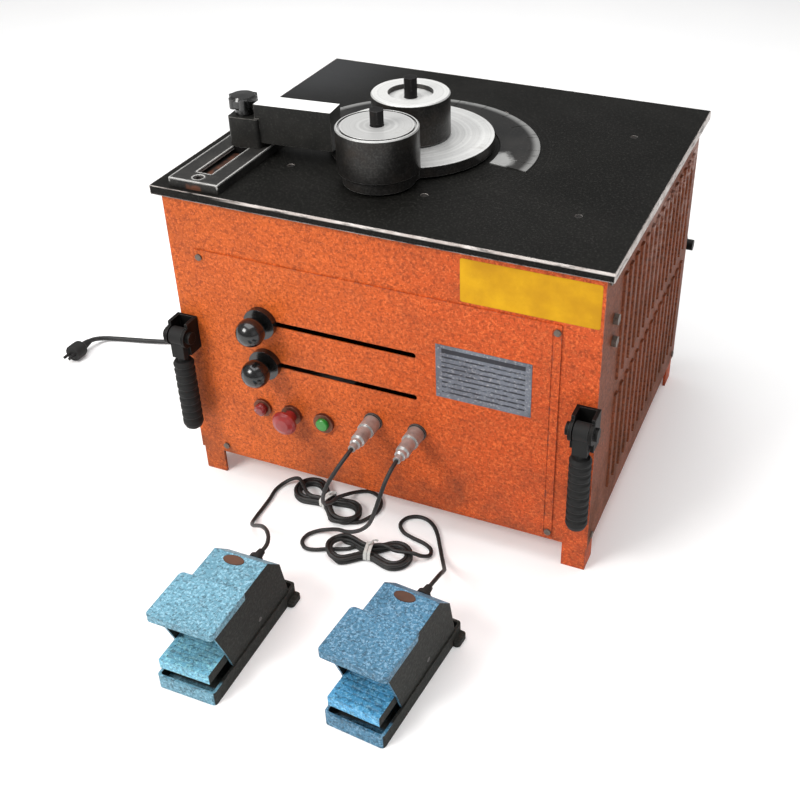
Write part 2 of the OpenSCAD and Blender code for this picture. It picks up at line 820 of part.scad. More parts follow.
// Ball knob, stem, clamp washer and the switch carrier behind the slot
module angle_knob(z) {
    ball_y = panel_face - 29;
    color(rubber_black) translate([knob_x, ball_y, z]) sphere(d = ball_d);
    color(rubber_black) {
        rod_y(knob_x, z, 12, ball_y, panel_face - 9);
        rod_y(knob_x, z, 44, panel_face - 9.3, panel_face - 0.3);
        rod_y(knob_x, z, slot_h - 0.4, panel_face - 0.3 - eps, body_front + sheet_t + 1);
        span([knob_x - 16, body_front + sheet_t + 1 - eps, z - 13], [knob_x + 16, body_front + 7, z + 13]);
        span([knob_x + 4, body_front + 7 - eps, z - 10], [knob_x + 16, -52, z + 10]);
    }
}

module upper_angle_knob() {
    angle_knob(upper_slot_z);
}

module lower_angle_knob() {
    angle_knob(lower_slot_z);
}

module control_box() {
    low = [-205, -48, 60];
    high = [-60, -18, 178];
    color(cast_grey) difference() {
        round_box(low, high, 4);
        round_box(low + [3, 3, 3], high + [-3, 1, -3], 2);
    }
    color(cast_grey) span([-180, -44, 80], [-90, -22, 150]);
}

module panel_sockets() {
    color(zinc) for (x = socket_xs) difference() {
        union() {
            rod_y(x, socket_z, 26, panel_face - 3, panel_face);
            rod_y(x, socket_z, socket_d, panel_face - 8, body_front + 14);
        }
        rod_y(x, socket_z, 15, panel_face - 9, panel_face - 2);
    }
}

module pedal_plugs() {
    color(zinc) for (x = socket_xs) {
        rod_y(x, socket_z, 14.8, panel_face - 9, panel_face - 3);
        difference() {
            rod_y(x, socket_z, 23, panel_face - 24, panel_face - 4);
            rod_y(x, socket_z, socket_d, panel_face - 8.2, panel_face);
        }
        translate([x, panel_face - 24 + eps, socket_z]) rotate([90, 0, 0]) rotate_extrude() polygon([
            [0, 0], [9.5, 0], [9.5, 22], [7.5, 25], [7.5, 30], [5.5, 32], [5, 40], [0, 40]
        ]);
    }
}

module gland(d, cord) {
    rotate([-90, 0, 0]) rotate_extrude() polygon([
        [0, -8], [d / 2 - 1, -8], [d / 2 - 1, 0], [d / 2 + 3, 0], [d / 2 + 3, 6], [d / 2, 8],
        [d / 2 - 1, 16], [cord / 2 + 1.2, 26], [0, 26]
    ]);
}

module cord_glands() {
    color(rubber_black) {
        translate([gland_hole.x, body_back, gland_hole.y]) gland(16, mains_cord_d);
        for (place = pedal_places) at_pedal(place)
            translate([-4, gland_y - 18, gland_z]) intersection() {
                gland(12, pedal_cord_d);
                span([-20, -7, -20], [20, 18, 20]);
            }
    }
}

// ---------------------------------------------------------------- carrying handles

front_pivot_out = 24;
rear_pivot_out = 45;

// Clevis on a base that stands the pivot off the cover, with its bolt.
// The pivot is at height 0.
module handle_bracket(out, bolt) {
    base = out - 20;
    span([-15, -base, -28], [15, 0, 20]);
    for (x = [-15, 10.5]) difference() {
        union() {
            span([x, -out, -28], [x + 4.5, -base + eps, 20]);
            rod_x(-out, 0, 28, x, x + 4.5);
        }
        rod_x(-out, 0, 10, x - 1, x + 6);
    }
    rod_x(-out, 0, 10, -15 - bolt, 15 + bolt);
    for (x = [-15 - bolt, 15 - eps]) rod_x(-out, 0, 17, x, x + bolt);
}

module at_front_handle(side) {
    translate([side * front_handle_x, body_front, front_pivot_z]) children();
}

module at_rear_handle(side) {
    translate([side * rear_handle_x, body_back, rear_pivot_z]) mirror([0, 1, 0]) children();
}

module handle_brackets() {
    color(black_steel) for (side = [-1, 1]) {
        at_front_handle(side) handle_bracket(front_pivot_out, 5);
        at_rear_handle(side) handle_bracket(rear_pivot_out, 12);
    }
}

// Flat-topped arm, with a ribbed rubber grip that ends in a round tip
module handle_arm(out) {
    grip_r = grip_d / 2;
    tip = -152;
    neck = -122;
    color(dark_steel) translate([0, -out, 0]) difference() {
        union() {
            rod_x(0, 0, 24, -9.5, 9.5);
            span([-9.5, -9, -31], [9.5, 9, 0]);
            post(14, neck, -30);
        }
        rod_x(0, 0, 10 + 2 * run_gap, -10, 10);
    }
    color(rubber_black) translate([0, -out, 0]) rotate_extrude() polygon(concat(
        [[0, tip], [8, tip + 1], [11.5, tip + 4], [grip_r, tip + 10]],
        [for (i = [0:7]) each [
            [grip_r, tip + 16 + 12 * i], [grip_r - 1.3, tip + 18 + 12 * i],
            [grip_r - 1.3, tip + 21 + 12 * i], [grip_r, tip + 23 + 12 * i]]],
        [[grip_r, tip + 110], [11.5, tip + 114], [7, tip + 114], [7, neck], [0, neck]]
    ));
}

module handle_front_left() {
    at_front_handle(-1) handle_arm(front_pivot_out);
}

module handle_front_right() {
    at_front_handle(1) handle_arm(front_pivot_out);
}

module handle_rear_left() {
    at_rear_handle(-1) handle_arm(rear_pivot_out);
}

module handle_rear_right() {
    at_rear_handle(1) handle_arm(rear_pivot_out);
}

// ---------------------------------------------------------------- pedals

module pedal_base() {
    rim = 20;
    half = pedal_w / 2;
    end = pedal_l / 2;
    color(pedal_blue) difference() {
        union() {
            round_box([-half, -end, 0], [half, end, rim], 5);
            round_box([half - 16, end - 24, 0], [half + 8, end - 2, 7], 5);
        }
        round_box([-half + 3.5, -end + 3.5, 3.5], [half - 3.5, end - 3.5, rim + 1], 3);
        for (y = [-70, 80]) translate([0, y, 0]) post(6.6, -1, 5);
    }
    // Microswitch under the treadle
    color(rubber_black) span([-20, -8, 3.5 - eps], [8, 12, 17]);
}

// Side outline of the housing behind the treadle, y along and z up
housing_outline = [[-13, 20], [-13, hood_top - 5], [44, hood_top - 5], [68, 76], [80, 20]];
housing_inner = [[-20, 19], [-20, 58], [-9.5, 62], [-9.5, hood_top - 8.5], [42.4, hood_top - 8.5], [64.6, 74.6], [76.2, 19]];

module along_x(half) {
    translate([-half, 0, 0]) rotate([90, 0, 90]) linear_extrude(2 * half) children();
}

// Side outline of the cheeks that carry the hood in front of the housing
cheek_outline = [[-12, 20], [-50, 20], [-58, 46], [-76, hood_top - 10], [-76, hood_top - 3.9], [-12, hood_top - 3.9]];

module pedal_hood() {
    half = pedal_w / 2 - 2;
    color(pedal_blue) for (x = [-half, half - 3]) translate([x + 1.5, 0, 0])
        along_x(1.5) polygon(cheek_outline);
    color(pedal_blue) difference() {
        union() {
            along_x(half) polygon(housing_outline);
            round_box([-49, -83, hood_top - 10], [40, -9, hood_top], 6);
        }
        along_x(half - 3) polygon(housing_inner);
        round_box([-46, -80, hood_top - 11], [37, -13, hood_top - 4], 4);
        rod_x(hinge_y, hinge_z, 6, -half - 1, half + 1);
        rod_y(-4, gland_z, 10, 50, 90);
    }
}

module treadle() {
    half = 33.5;
    front = -92;
    back = 24;
    color(pedal_blue) difference() {
        span([-half, front, 32], [half, back, 46]);
        span([-half + 3, front + 3, 31], [half - 3, back + 1, 43]);
        rod_x(hinge_y, hinge_z, 6 + 2 * run_gap, -half - 1, half + 1);
        for (y = [-84:8:-36]) span([-half + 6, y - 1, 45], [half - 6, y + 1, 47]);
    }
}

module pedal_pins() {
    half = pedal_w / 2 - 2;
    color(zinc) for (place = pedal_places) at_pedal(place) {
        rod_x(hinge_y, hinge_z, 6, -half, half);
        for (x = [-24:3.2:-8]) translate([x, hinge_y, hinge_z]) rotate([0, 90, 0]) difference() {
            cylinder(h = 2.6, d = 13);
            translate([0, 0, -1]) cylinder(h = 5, d = 8);
        }
    }
}

// ---------------------------------------------------------------- cords

// A tied hank: stadium outline, pinched where the tie holds it
module cord_hank(place) {
    straight = hank_len / 2 - hank_w / 2;
    waist = hank_waist / 2;
    translate([place.x, place.y, 0]) rotate([0, 0, place.z]) {
        for (x = [-straight, straight]) translate([x, 0, 0]) cylinder(h = hank_h, d = hank_w);
        linear_extrude(hank_h) polygon([
            [-straight, -hank_w / 2], [-7, -waist], [7, -waist], [straight, -hank_w / 2],
            [straight, hank_w / 2], [7, waist], [-7, waist], [-straight, hank_w / 2]
        ]);
    }
}

module left_pedal_cord() {
    color(rubber_black) {
        cord_tube(left_route_a, pedal_cord_d);
        cord_tube(left_route_b, pedal_cord_d);
    }
}

module right_pedal_cord() {
    color(rubber_black) {
        cord_tube(right_route_a, pedal_cord_d);
        cord_tube(right_route_b, pedal_cord_d);
    }
}

module left_cord_hank() {
    color(rubber_black) cord_hank(left_hank_place);
}

module right_cord_hank() {
    color(rubber_black) cord_hank(right_hank_place);
}

module power_cord() {
    color(rubber_black) {
        cord_tube(mains_route_a, mains_cord_d);
        cord_tube(mains_route_b, mains_cord_d);
    }
}

module power_coil() {
    color(rubber_black) translate(coil_place) rotate_extrude()
        translate([coil_ring_r - coil_bundle / 2, 0]) square([coil_bundle, coil_bundle]);
}

module power_plug() {
    color(rubber_black) translate([plug_place.x, plug_place.y, plug_place.z])
        rotate([0, 0, plug_turn]) rotate([0, 90, 0]) {
            rotate_extrude() polygon([
                [0, 0], [5, 0], [7, 14], [13, 20], [14, 24], [14, 40], [13, 42], [0, 42]
            ]);
            for (a = [0, 180]) rotate([0, 0, a]) translate([0, 5, 42 - eps]) cylinder(h = 14, d = 4.8);
        }
}

table_plate();
corner_posts();
frame_rails();
bottom_plate();
front_panel();
control_panel();
left_cover();
right_cover();
back_cover();
panel_screws();
data_plate();
angle_scale();
gearbox_case();
gearbox_lid();
motor_case();
shaft_bearings();
fence_base();
control_box();
pilot_lamp();
button_collars();
panel_sockets();
pedal_plugs();
cord_glands();
handle_brackets();
spindle();
turntable();
spindle_gear();
trip_gear();
bending_pin();
centre_pin();
centre_roller();
bending_roller();
second_gear();
motor_rotor();
trip_rack();
upper_angle_knob();
lower_angle_knob();
stop_button();
start_button();
fence_slider();
fence_bar();
clamp_knob();
handle_front_left();
handle_front_right();
handle_rear_left();
handle_rear_right();
at_pedal(pedal_places[0]) pedal_base();  // left_pedal_base
at_pedal(pedal_places[1]) pedal_base();  // right_pedal_base
at_pedal(pedal_places[0]) pedal_hood();  // left_pedal_hood
at_pedal(pedal_places[1]) pedal_hood();  // right_pedal_hood
at_pedal(pedal_places[0]) treadle();  // left_treadle
at_pedal(pedal_places[1]) treadle();  // right_treadle
pedal_pins();
left_pedal_cord();
left_cord_hank();
right_pedal_cord();
right_cord_hank();
power_cord();
power_coil();
power_plug();
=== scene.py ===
import math

import bmesh
import bpy
from mathutils import Matrix, Vector

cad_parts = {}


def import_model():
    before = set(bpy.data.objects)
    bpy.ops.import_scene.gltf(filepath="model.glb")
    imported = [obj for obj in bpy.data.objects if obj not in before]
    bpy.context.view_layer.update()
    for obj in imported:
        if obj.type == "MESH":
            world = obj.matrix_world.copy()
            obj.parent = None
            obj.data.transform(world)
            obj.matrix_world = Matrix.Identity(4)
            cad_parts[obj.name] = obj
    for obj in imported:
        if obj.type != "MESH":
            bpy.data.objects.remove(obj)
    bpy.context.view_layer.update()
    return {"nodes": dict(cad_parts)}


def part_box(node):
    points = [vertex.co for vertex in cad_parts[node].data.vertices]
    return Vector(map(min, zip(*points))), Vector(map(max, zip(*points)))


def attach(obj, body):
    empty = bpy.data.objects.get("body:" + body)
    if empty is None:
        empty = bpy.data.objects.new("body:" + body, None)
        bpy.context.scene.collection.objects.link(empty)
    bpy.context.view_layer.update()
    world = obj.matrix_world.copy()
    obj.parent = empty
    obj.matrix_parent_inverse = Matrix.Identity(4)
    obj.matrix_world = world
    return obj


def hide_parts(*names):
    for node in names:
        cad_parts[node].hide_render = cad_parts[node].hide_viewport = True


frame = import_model()

MM = 0.001
LINE_STEP = 0.003
scene = bpy.context.scene
scene.view_settings.view_transform = "Standard"
scene.view_settings.look = "None"


# ------------------------------------------------------------------ camera

CAMERA_AT = (0.54396, -1.13239, 1.05671)
CAMERA_TILT = 56.394
CAMERA_TURN = 21.830
LENS = 50.385
SENSOR_WIDTH = 36
SHIFT = (-0.0860, -0.0635)
NEAREST, FARTHEST = 0.05, 50


def make_camera():
    data = bpy.data.cameras.new("camera")
    data.lens = LENS
    data.sensor_width = SENSOR_WIDTH
    data.shift_x, data.shift_y = SHIFT
    data.clip_start = NEAREST
    data.clip_end = FARTHEST
    cam = bpy.data.objects.new("camera", data)
    cam.location = CAMERA_AT
    cam.rotation_euler = (math.radians(CAMERA_TILT), 0, math.radians(CAMERA_TURN))
    scene.collection.objects.link(cam)
    scene.camera = cam


make_camera()


# ------------------------------------------------------------------ curves and meshes

def knot_gap(a, b):
    """Centripetal spacing of two points, never nothing."""
    return max((b - a).length, 1e-6) ** 0.5


def smooth_line(points, step=LINE_STEP):
    """A dense centripetal Catmull-Rom line through points given in metres."""
    p = [Vector(q) for q in points]
    p = [2 * p[0] - p[1]] + p + [2 * p[-1] - p[-2]]
    line = []
    for i in range(1, len(p) - 2):
        a, b, c, d = p[i - 1 : i + 3]
        t0 = 0.0
        t1 = t0 + knot_gap(a, b)
        t2 = t1 + knot_gap(b, c)
        t3 = t2 + knot_gap(c, d)
        n = max(1, round((c - b).length / step))
        for k in range(n):
            t = t1 + (t2 - t1) * k / n
            e = a.lerp(b, (t - t0) / (t1 - t0))
            f = b.lerp(c, (t - t1) / (t2 - t1))
            g = c.lerp(d, (t - t2) / (t3 - t2))
            h = e.lerp(f, (t - t0) / (t2 - t0))
            j = f.lerp(g, (t - t1) / (t3 - t1))
            line.append(h.lerp(j, (t - t1) / (t2 - t1)))
    line.append(p[-2])
    return line


def cord_curve(name, line, diameter):
    """A curve of one open spline with a round section."""
    data = bpy.data.curves.new(name, "CURVE")
    data.dimensions = "3D"
    data.bevel_depth = diameter / 2
    data.bevel_resolution = 3
    data.use_fill_caps = True
    spline = data.splines.new("POLY")
    spline.points.add(len(line) - 1)
    for point, at in zip(spline.points, line):
        point.co = (*at, 1)
    spline.use_smooth = True
    obj = bpy.data.objects.new(name, data)
    scene.collection.objects.link(obj)
    return obj


def length_of(line):
    """Length of a line in metres."""
    return sum((b - a).length for a, b in zip(line, line[1:]))


def mesh_object(name, bm, material, smooth_angle=None):
    """Turns a bmesh into an object of one material, smooth where its faces meet below the angle given."""
    mesh = bpy.data.meshes.new(name)
    bmesh.ops.recalc_face_normals(bm, faces=bm.faces)
    bm.to_mesh(mesh)
    bm.free()
    obj = bpy.data.objects.new(name, mesh)
    scene.collection.objects.link(obj)
    mesh.materials.append(material)
    if smooth_angle is not None:
        mesh.shade_smooth()
        mesh.set_sharp_from_angle(angle=math.radians(smooth_angle))
    return obj


def mm(points):
    """Points in millimetres as vectors in metres."""
    return [Vector(q) * MM for q in points]


def smoothstep(t):
    """0 to 1 with a level start and end."""
    t = max(0.0, min(1.0, t))
    return t * t * (3 - 2 * t)


# ------------------------------------------------------------------ cord routes, in mm as in the CAD source

LEFT_A = [
    (-8, -155, 165), (-9, -170, 163), (-15, -183, 152), (-25, -190, 132), (-36, -186, 106),
    (-47, -171, 78), (-56, -149, 53), (-62, -124, 34), (-65, -100, 22), (-64, -80, 11),
    (-57, -63, 4), (-42, -54, 2.8), (-25, -58, 2.8), (-14, -71, 2.8), (-12, -88, 2.8),
    (-18, -105, 2.8), (-28, -118, 2.8),
]
LEFT_B = [
    (-141, -77, 13.8), (-153, -77, 9), (-163, -85, 4), (-167, -100, 2.8), (-165, -120, 2.8),
    (-164, -140, 2.8), (-163, -160, 3.5), (-158, -178, 9), (-147, -192, 20), (-131, -204, 35),
    (-115, -216, 49), (-100, -229, 58), (-89, -243, 61.5), (-84, -256, 62), (-84, -268, 62),
]
RIGHT_A = [
    (55, -155, 165), (55, -170, 163.5), (53, -184, 154), (49, -193, 136), (42, -196, 112),
    (32, -192, 86), (17, -184, 63), (-1, -175, 44), (-19, -165, 29), (-37, -155, 18),
    (-54, -150, 8), (-70, -154, 3.5), (-80, -166, 2.8), (-80, -180, 2.8), (-70, -189, 2.8),
    (-56, -187, 2.8), (-44, -181, 2.8),
]
RIGHT_B = [
    (72, -155, 13.8), (84, -151, 9), (91, -141, 4), (87, -129, 2.8), (74, -122, 2.8),
    (56, -118, 2.8), (39, -112, 2.8), (29, -100, 2.8), (31, -86, 2.8), (43, -77, 2.8),
    (58, -77, 2.8), (72, -85, 2.8), (84, -99, 2.8), (95, -117, 2.8), (106, -136, 4),
    (117, -156, 11), (127, -176, 24), (134, -196, 41), (138, -215, 55), (138.6, -231, 61),
    (137, -246, 62),
]
MAINS_A = [
    (-205, 422, 80), (-205, 430, 80), (-205, 441.6, 78.3), (-205.6, 452, 73), (-207, 460, 64.8),
    (-208.2, 465, 54.8), (-209.2, 469.5, 45), (-210.2, 476.6, 36.6), (-210.3, 486, 31),
]
MAINS_B = [
    (-178, 434, 4), (-200, 433, 4), (-226, 430, 4), (-255, 424, 4), (-286, 414, 4),
    (-318, 396, 4), (-350, 370, 4), (-382, 338, 4), (-412, 302, 4), (-440, 264, 4),
    (-466, 228, 4), (-494, 194, 4), (-526, 171, 4), (-560, 159, 4), (-594, 150, 4),
    (-625, 141, 4.5), (-636.1, 134.3, 6.5), (-644.2, 123.4, 10), (-647.4, 112, 13.2), (-647.7, 106, 14),
]
PEDAL_CORD = 5.5
MAINS_CORD = 8
# x, y and turn in degrees
LEFT_HANK = (-84, -97.5, -20)
RIGHT_HANK = (14, -168, 12)
HANK_STRAIGHT = 35
HALF_STEPS = 6
BEND_STEPS = 8
# each turn of a hank: distance from its long axis and height, at the ends and at the tie
LAYER_1, LAYER_2, LAYER_3 = 2.8, 8.3, 13.8
LANES = [
    ((22, LAYER_1), (8.3, LAYER_1)), ((16.5, LAYER_1), (2.8, LAYER_1)),
    ((16.5, LAYER_2), (2.8, LAYER_2)), ((22, LAYER_2), (8.3, LAYER_2)), ((19, LAYER_3), (5.6, 13.5)),
]
COIL_AT = (-170, 484)
# radius and height of each turn of the mains coil, in the order in which it is wound
COIL_TURNS = [(34, 20), (42, 20), (50, 20), (50, 12), (42, 12), (34, 12), (34, 4), (42, 4), (50, 4)]
COIL_START, COIL_END = 162, -90
COIL_STEPS = 150
# share of a turn over which the cord moves across to the next one
COIL_CROSSING = 0.7
# over this many steps the cord comes in from above and outside
COIL_ENTRY_STEPS = 6
COIL_ENTRY_RISE, COIL_ENTRY_OUT = 9, 6


def hank_points(place, first_end):
    """The turns of a tied hank, entered at one end (+1 or -1 of its long axis)."""
    runs = len(LANES) * 2 - 1
    last_step = 2 * HALF_STEPS
    side = -first_end
    from_low_end = first_end < 0
    out = []
    for i in range(runs):
        (r, z), (waist, waist_z) = LANES[i // 2]
        start = first_end if i % 2 == 0 else -first_end
        this_side = side if i % 2 == 0 else -side
        opening = i == 0
        closing = i == runs - 1
        for k in range(last_step + 1):
            x = start * HANK_STRAIGHT * (1 - k / HALF_STEPS)
            t = smoothstep(abs(x) / HANK_STRAIGHT)
            y = this_side * (waist + (r - waist) * t)
            height = waist_z + (z - waist_z) * t
            # the cord enters and leaves along the hank's long axis
            if opening and from_low_end:
                y *= smoothstep((k + 1) / HALF_STEPS)
            if closing and from_low_end:
                y *= smoothstep((last_step + 1 - k) / HALF_STEPS)
            if closing and k > 9 and not from_low_end:
                y *= 0.55 + 0.45 * (last_step - k) / 3
            out.append((x, y, height))
        if closing:
            break
        next_r, next_z = LANES[(i + 1) // 2][0]
        end = -start
        for k in range(1, BEND_STEPS):
            share = k / BEND_STEPS
            a = math.pi * share
            radius = r + (next_r - r) * share
            x = end * (HANK_STRAIGHT + radius * math.sin(a))
            y = this_side * radius * math.cos(a)
            height = z + (next_z - z) * share
            # bends at the entry end pass over the cord that comes in under them
            if end == first_end and from_low_end:
                height = max(height, LAYER_2 + (next_z - LAYER_1) * 0.5 * math.sin(a))
            out.append((x, y, height))
    c, s = math.cos(math.radians(place[2])), math.sin(math.radians(place[2]))
    return [(place[0] + c * x - s * y, place[1] + s * x + c * y, z) for x, y, z in out]


def coil_points():
    """A round coil in three layers, wound clockwise from its top inside to its bottom outside."""
    turns = len(COIL_TURNS)
    total = COIL_START - COIL_END + 360 * (turns - 1)
    out = []
    for k in range(COIL_STEPS + 1):
        turned = total * k / COIL_STEPS
        where = turned / total * (turns - 0.001)
        i = int(where)
        (r0, z0), (r1, z1) = COIL_TURNS[i], COIL_TURNS[min(i + 1, turns - 1)]
        blend = smoothstep((where - i - 1 + COIL_CROSSING) / COIL_CROSSING)
        r, z = r0 + (r1 - r0) * blend, z0 + (z1 - z0) * blend
        entry = max(0, 1 - k / COIL_ENTRY_STEPS)
        z += COIL_ENTRY_RISE * entry
        r += COIL_ENTRY_OUT * entry
        a = math.radians(COIL_START - turned)
        out.append((COIL_AT[0] + r * math.cos(a), COIL_AT[1] + r * math.sin(a), z))
    return out


left_line = smooth_line(mm(LEFT_A + hank_points(LEFT_HANK, 1)[1:] + LEFT_B))
right_line = smooth_line(mm(RIGHT_A + hank_points(RIGHT_HANK, -1)[1:] + RIGHT_B))
mains_line = smooth_line(mm(MAINS_A + coil_points()[:-1] + MAINS_B))
print("cord lengths", [round(length_of(x), 3) for x in (left_line, right_line, mains_line)])

left_cord = cord_curve("left_pedal_lead", left_line, PEDAL_CORD * MM)
right_cord = cord_curve("right_pedal_lead", right_line, PEDAL_CORD * MM)
mains_cord = cord_curve("mains_lead", mains_line, MAINS_CORD * MM)


# ------------------------------------------------------------------ material building

SHADER_INPUTS = {
    "color": "Base Color", "metal": "Metallic", "rough": "Roughness", "normal": "Normal",
    "coat": "Coat Weight", "coat_rough": "Coat Roughness", "specular": "Specular IOR Level",
    "emit": "Emission Color", "emit_strength": "Emission Strength",
}


class Graph:
    """A node material built step by step. Sockets and plain numbers can be mixed as inputs."""

    def __init__(self, name):
        self.material = bpy.data.materials.new(name)
        self.material.use_nodes = True
        self.tree = self.material.node_tree
        self.shader = self.tree.nodes["Principled BSDF"]
        self.coords = self.node("ShaderNodeTexCoord").outputs["Object"]
        geometry = self.node("ShaderNodeNewGeometry")
        self.normal = geometry.outputs["Normal"]

    def node(self, kind, inputs=None, **props):
        n = self.tree.nodes.new(kind)
        for key, value in props.items():
            setattr(n, key, value)
        for key, value in (inputs or {}).items():
            self.feed(n.inputs[key], value)
        return n

    def feed(self, socket, value):
        if isinstance(value, bpy.types.NodeSocket):
            self.tree.links.new(value, socket)
        elif isinstance(value, (tuple, list)) and len(value) == 3 and socket.type == "RGBA":
            socket.default_value = (*value, 1)
        else:
            socket.default_value = value

    def set(self, **values):
        """Feed the shader's inputs by their short names and give back the finished material."""
        for key, value in values.items():
            self.feed(self.shader.inputs[SHADER_INPUTS[key]], value)
        return self.material

    def math(self, how, a, b=0.0, c=0.0, clamp=False):
        n = self.node("ShaderNodeMath", operation=how, use_clamp=clamp)
        for i, v in enumerate((a, b, c)):
            self.feed(n.inputs[i], v)
        return n.outputs[0]

    def times(self, a, b):
        return self.math("MULTIPLY", a, b)

    def plus(self, a, b, clamp=False):
        return self.math("ADD", a, b, clamp=clamp)

    def minus(self, a, b):
        return self.math("SUBTRACT", a, b)

    def absolute(self, a):
        return self.math("ABSOLUTE", a)

    def larger(self, a, b):
        return self.math("MAXIMUM", a, b)

    def distance(self, across, along):
        """Length of the step whose two parts are given."""
        return self.math("SQRT", self.plus(self.times(across, across), self.times(along, along)))

    def dot(self, a, b):
        n = self.node("ShaderNodeVectorMath", operation="DOT_PRODUCT")
        self.feed(n.inputs[0], a)
        self.feed(n.inputs[1], b)
        return n.outputs["Value"]

    def axes(self, of=None):
        n = self.node("ShaderNodeSeparateXYZ", {0: self.coords if of is None else of})
        return n.outputs

    def point(self, x, y, z):
        return self.node("ShaderNodeCombineXYZ", {"X": x, "Y": y, "Z": z}).outputs[0]

    def stretch(self, scale, offset=(0, 0, 0)):
        n = self.node("ShaderNodeMapping", {"Vector": self.coords, "Scale": scale, "Location": offset})
        return n.outputs[0]

    def noise(self, scale, detail=4, rough=0.55, at=None, distort=0.0):
        n = self.node("ShaderNodeTexNoise", {"Vector": self.coords if at is None else at, "Scale": scale,
                                             "Detail": detail, "Roughness": rough, "Distortion": distort})
        return n.outputs["Fac"]

    def cells(self, scale):
        n = self.node("ShaderNodeTexVoronoi", {"Vector": self.coords, "Scale": scale}, feature="F1")
        return n.outputs["Distance"]

    def ramp(self, value, low, high):
        """0 at low and 1 at high, smooth between and held beyond. Low may be the larger."""
        n = self.node("ShaderNodeMapRange", {"Value": value, "From Min": low, "From Max": high},
                      interpolation_type="SMOOTHSTEP")
        return n.outputs[0]

    def mix(self, share, a, b):
        """Colour a where share is 0 and colour b where it is 1."""
        n = self.node("ShaderNodeMix", data_type="RGBA", clamp_factor=True)
        self.feed(n.inputs[0], share)
        self.feed(n.inputs[6], (*a, 1) if isinstance(a, tuple) else a)
        self.feed(n.inputs[7], (*b, 1) if isinstance(b, tuple) else b)
        return n.outputs[2]

    def blend(self, share, a, b):
        """Number a where share is 0 and number b where it is 1."""
        n = self.node("ShaderNodeMix", data_type="FLOAT", clamp_factor=True)
        self.feed(n.inputs[0], share)
        self.feed(n.inputs[2], a)
        self.feed(n.inputs[3], b)
        return n.outputs[0]

    def bump(self, height, distance, strength=1.0, under=None):
        inputs = {"Height": height, "Distance": distance, "Strength": strength}
        if under is not None:
            inputs["Normal"] = under
        return self.node("ShaderNodeBump", inputs).outputs[0]

    def rounded(self, radius):
        return self.node("ShaderNodeBevel", {"Radius": radius}, samples=4).outputs[0]

    def edges(self, radius, low=0.02, high=0.16):
        """1 along outside and inside edges within radius of them."""
        turn = self.dot(self.rounded(radius), self.normal)
        return self.ramp(self.minus(1.0, turn), low, high)


def scaled(color, factor):
    return tuple(c * factor for c in color)


def lighter(color, factor, added):
    return tuple(min(1, c * factor + added) for c in color)


def speckle(g, color, deep, light, amount):
    """Fine dark and light grains over a colour."""
    dark = g.ramp(g.noise(230, 3, 0.75), 0.47, 0.62)
    pale = g.ramp(g.noise(290, 3, 0.75, at=g.stretch((1, 1, 1), offset=(3, 1, 2))), 0.49, 0.64)
    color = g.mix(g.times(dark, amount), color, deep)
    return g.mix(g.times(pale, amount * 0.75), color, light)


def middle(node):
    """The middle of a node's box, seen from above."""
    low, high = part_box(node)
    return (low.x + high.x) / 2, (low.y + high.y) / 2


# main places of the machine in metres, which the worn, dirty and painted-light parts of the materials
# follow
SPINDLE = middle("centre_roller")
PIN = middle("bending_roller")
BODY_HALF_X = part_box("front_panel")[1].x
TABLE_LOW, TABLE_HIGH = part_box("table_plate")
TABLE_HALF_X, TABLE_HALF_Y = (TABLE_HIGH.xy - TABLE_LOW.xy) / 2
TABLE_MID_Y = middle("table_plate")[1]
TABLE_UNDER, TABLE_TOP = TABLE_LOW.z, TABLE_HIGH.z
FENCE_X = middle("fence_base")[0]
FENCE_BASE_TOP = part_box("fence_base")[1].z
FENCE_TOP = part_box("fence_bar")[1].z

CHIP_COLOR = (0.13, 0.10, 0.085)
STREAK_COLOR = (0.62, 0.45, 0.40)
DUST_COLOR = (0.075, 0.038, 0.026)


def paint(name, left, right, dust=0.0, darkening_color=DUST_COLOR, grain=0.5, streaks=0.0, gloss=0.22):
    """Enamel with mottling, dark patches heavier towards the bottom, chipped edges and, where asked for, a
    dark veil of painted shade and paler streaks high on the right side.
    """
    g = Graph(name)
    x, y, z = g.axes()
    color = g.mix(g.ramp(x, -TABLE_HALF_X, TABLE_HALF_X), left, right)
    clouds = g.ramp(g.noise(7, 5, 0.6), 0.35, 0.75)
    color = g.mix(g.times(clouds, 0.35), color, scaled(right, 0.72))
    color = speckle(g, color, scaled(right, 0.38), lighter(left, 1.5, 0.03), grain)
    # dark patches all over, heavier towards the bottom
    low = g.ramp(z, 0.20, 0.03)
    patches = g.ramp(g.noise(16, 6, 0.65), 0.38, 0.75)
    dark_patches = g.times(patches, g.plus(0.22, g.times(low, 0.45)))
    # dust lays an even dark veil over the paint; on the side covers this veil is painted shade
    color = g.mix(g.plus(dark_patches, dust, clamp=True), color, darkening_color)
    if streaks:
        # paler streaks high on the rear part of the right side
        rubbed = g.ramp(g.noise(34, 5, 0.7, at=g.stretch((1, 0.16, 1))), 0.44, 0.62)
        high = g.times(g.ramp(z, 0.27, 0.42), g.ramp(y, 0.0, 0.30))
        high = g.times(high, g.ramp(x, BODY_HALF_X - 0.008, BODY_HALF_X - 0.004))
        color = g.mix(g.times(g.times(rubbed, high), streaks), color, STREAK_COLOR)
    chips = g.times(g.edges(0.0016), g.ramp(g.noise(85, 5, 0.7), 0.49, 0.59))
    color = g.mix(chips, color, CHIP_COLOR)
    rough = g.plus(0.44, g.times(g.noise(60, 4), 0.16))
    rough = g.plus(rough, g.times(dark_patches, 0.35), clamp=True)
    normal = g.bump(g.noise(260, 3, 0.5), 0.00025, 0.5, under=g.rounded(0.0009))
    normal = g.bump(chips, 0.0001, 0.6, under=normal)
    return g.set(color=color, rough=rough, normal=normal, metal=g.times(chips, 0.7), specular=gloss)


PEDAL_SHADE_BLACK = (0.012, 0.013, 0.011)
# heights on the pedals: underside of the hood's lip, and just over the base
LIP_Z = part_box("left_pedal_hood")[1].z - 0.010
BASE_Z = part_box("left_pedal_base")[1].z + 0.0006


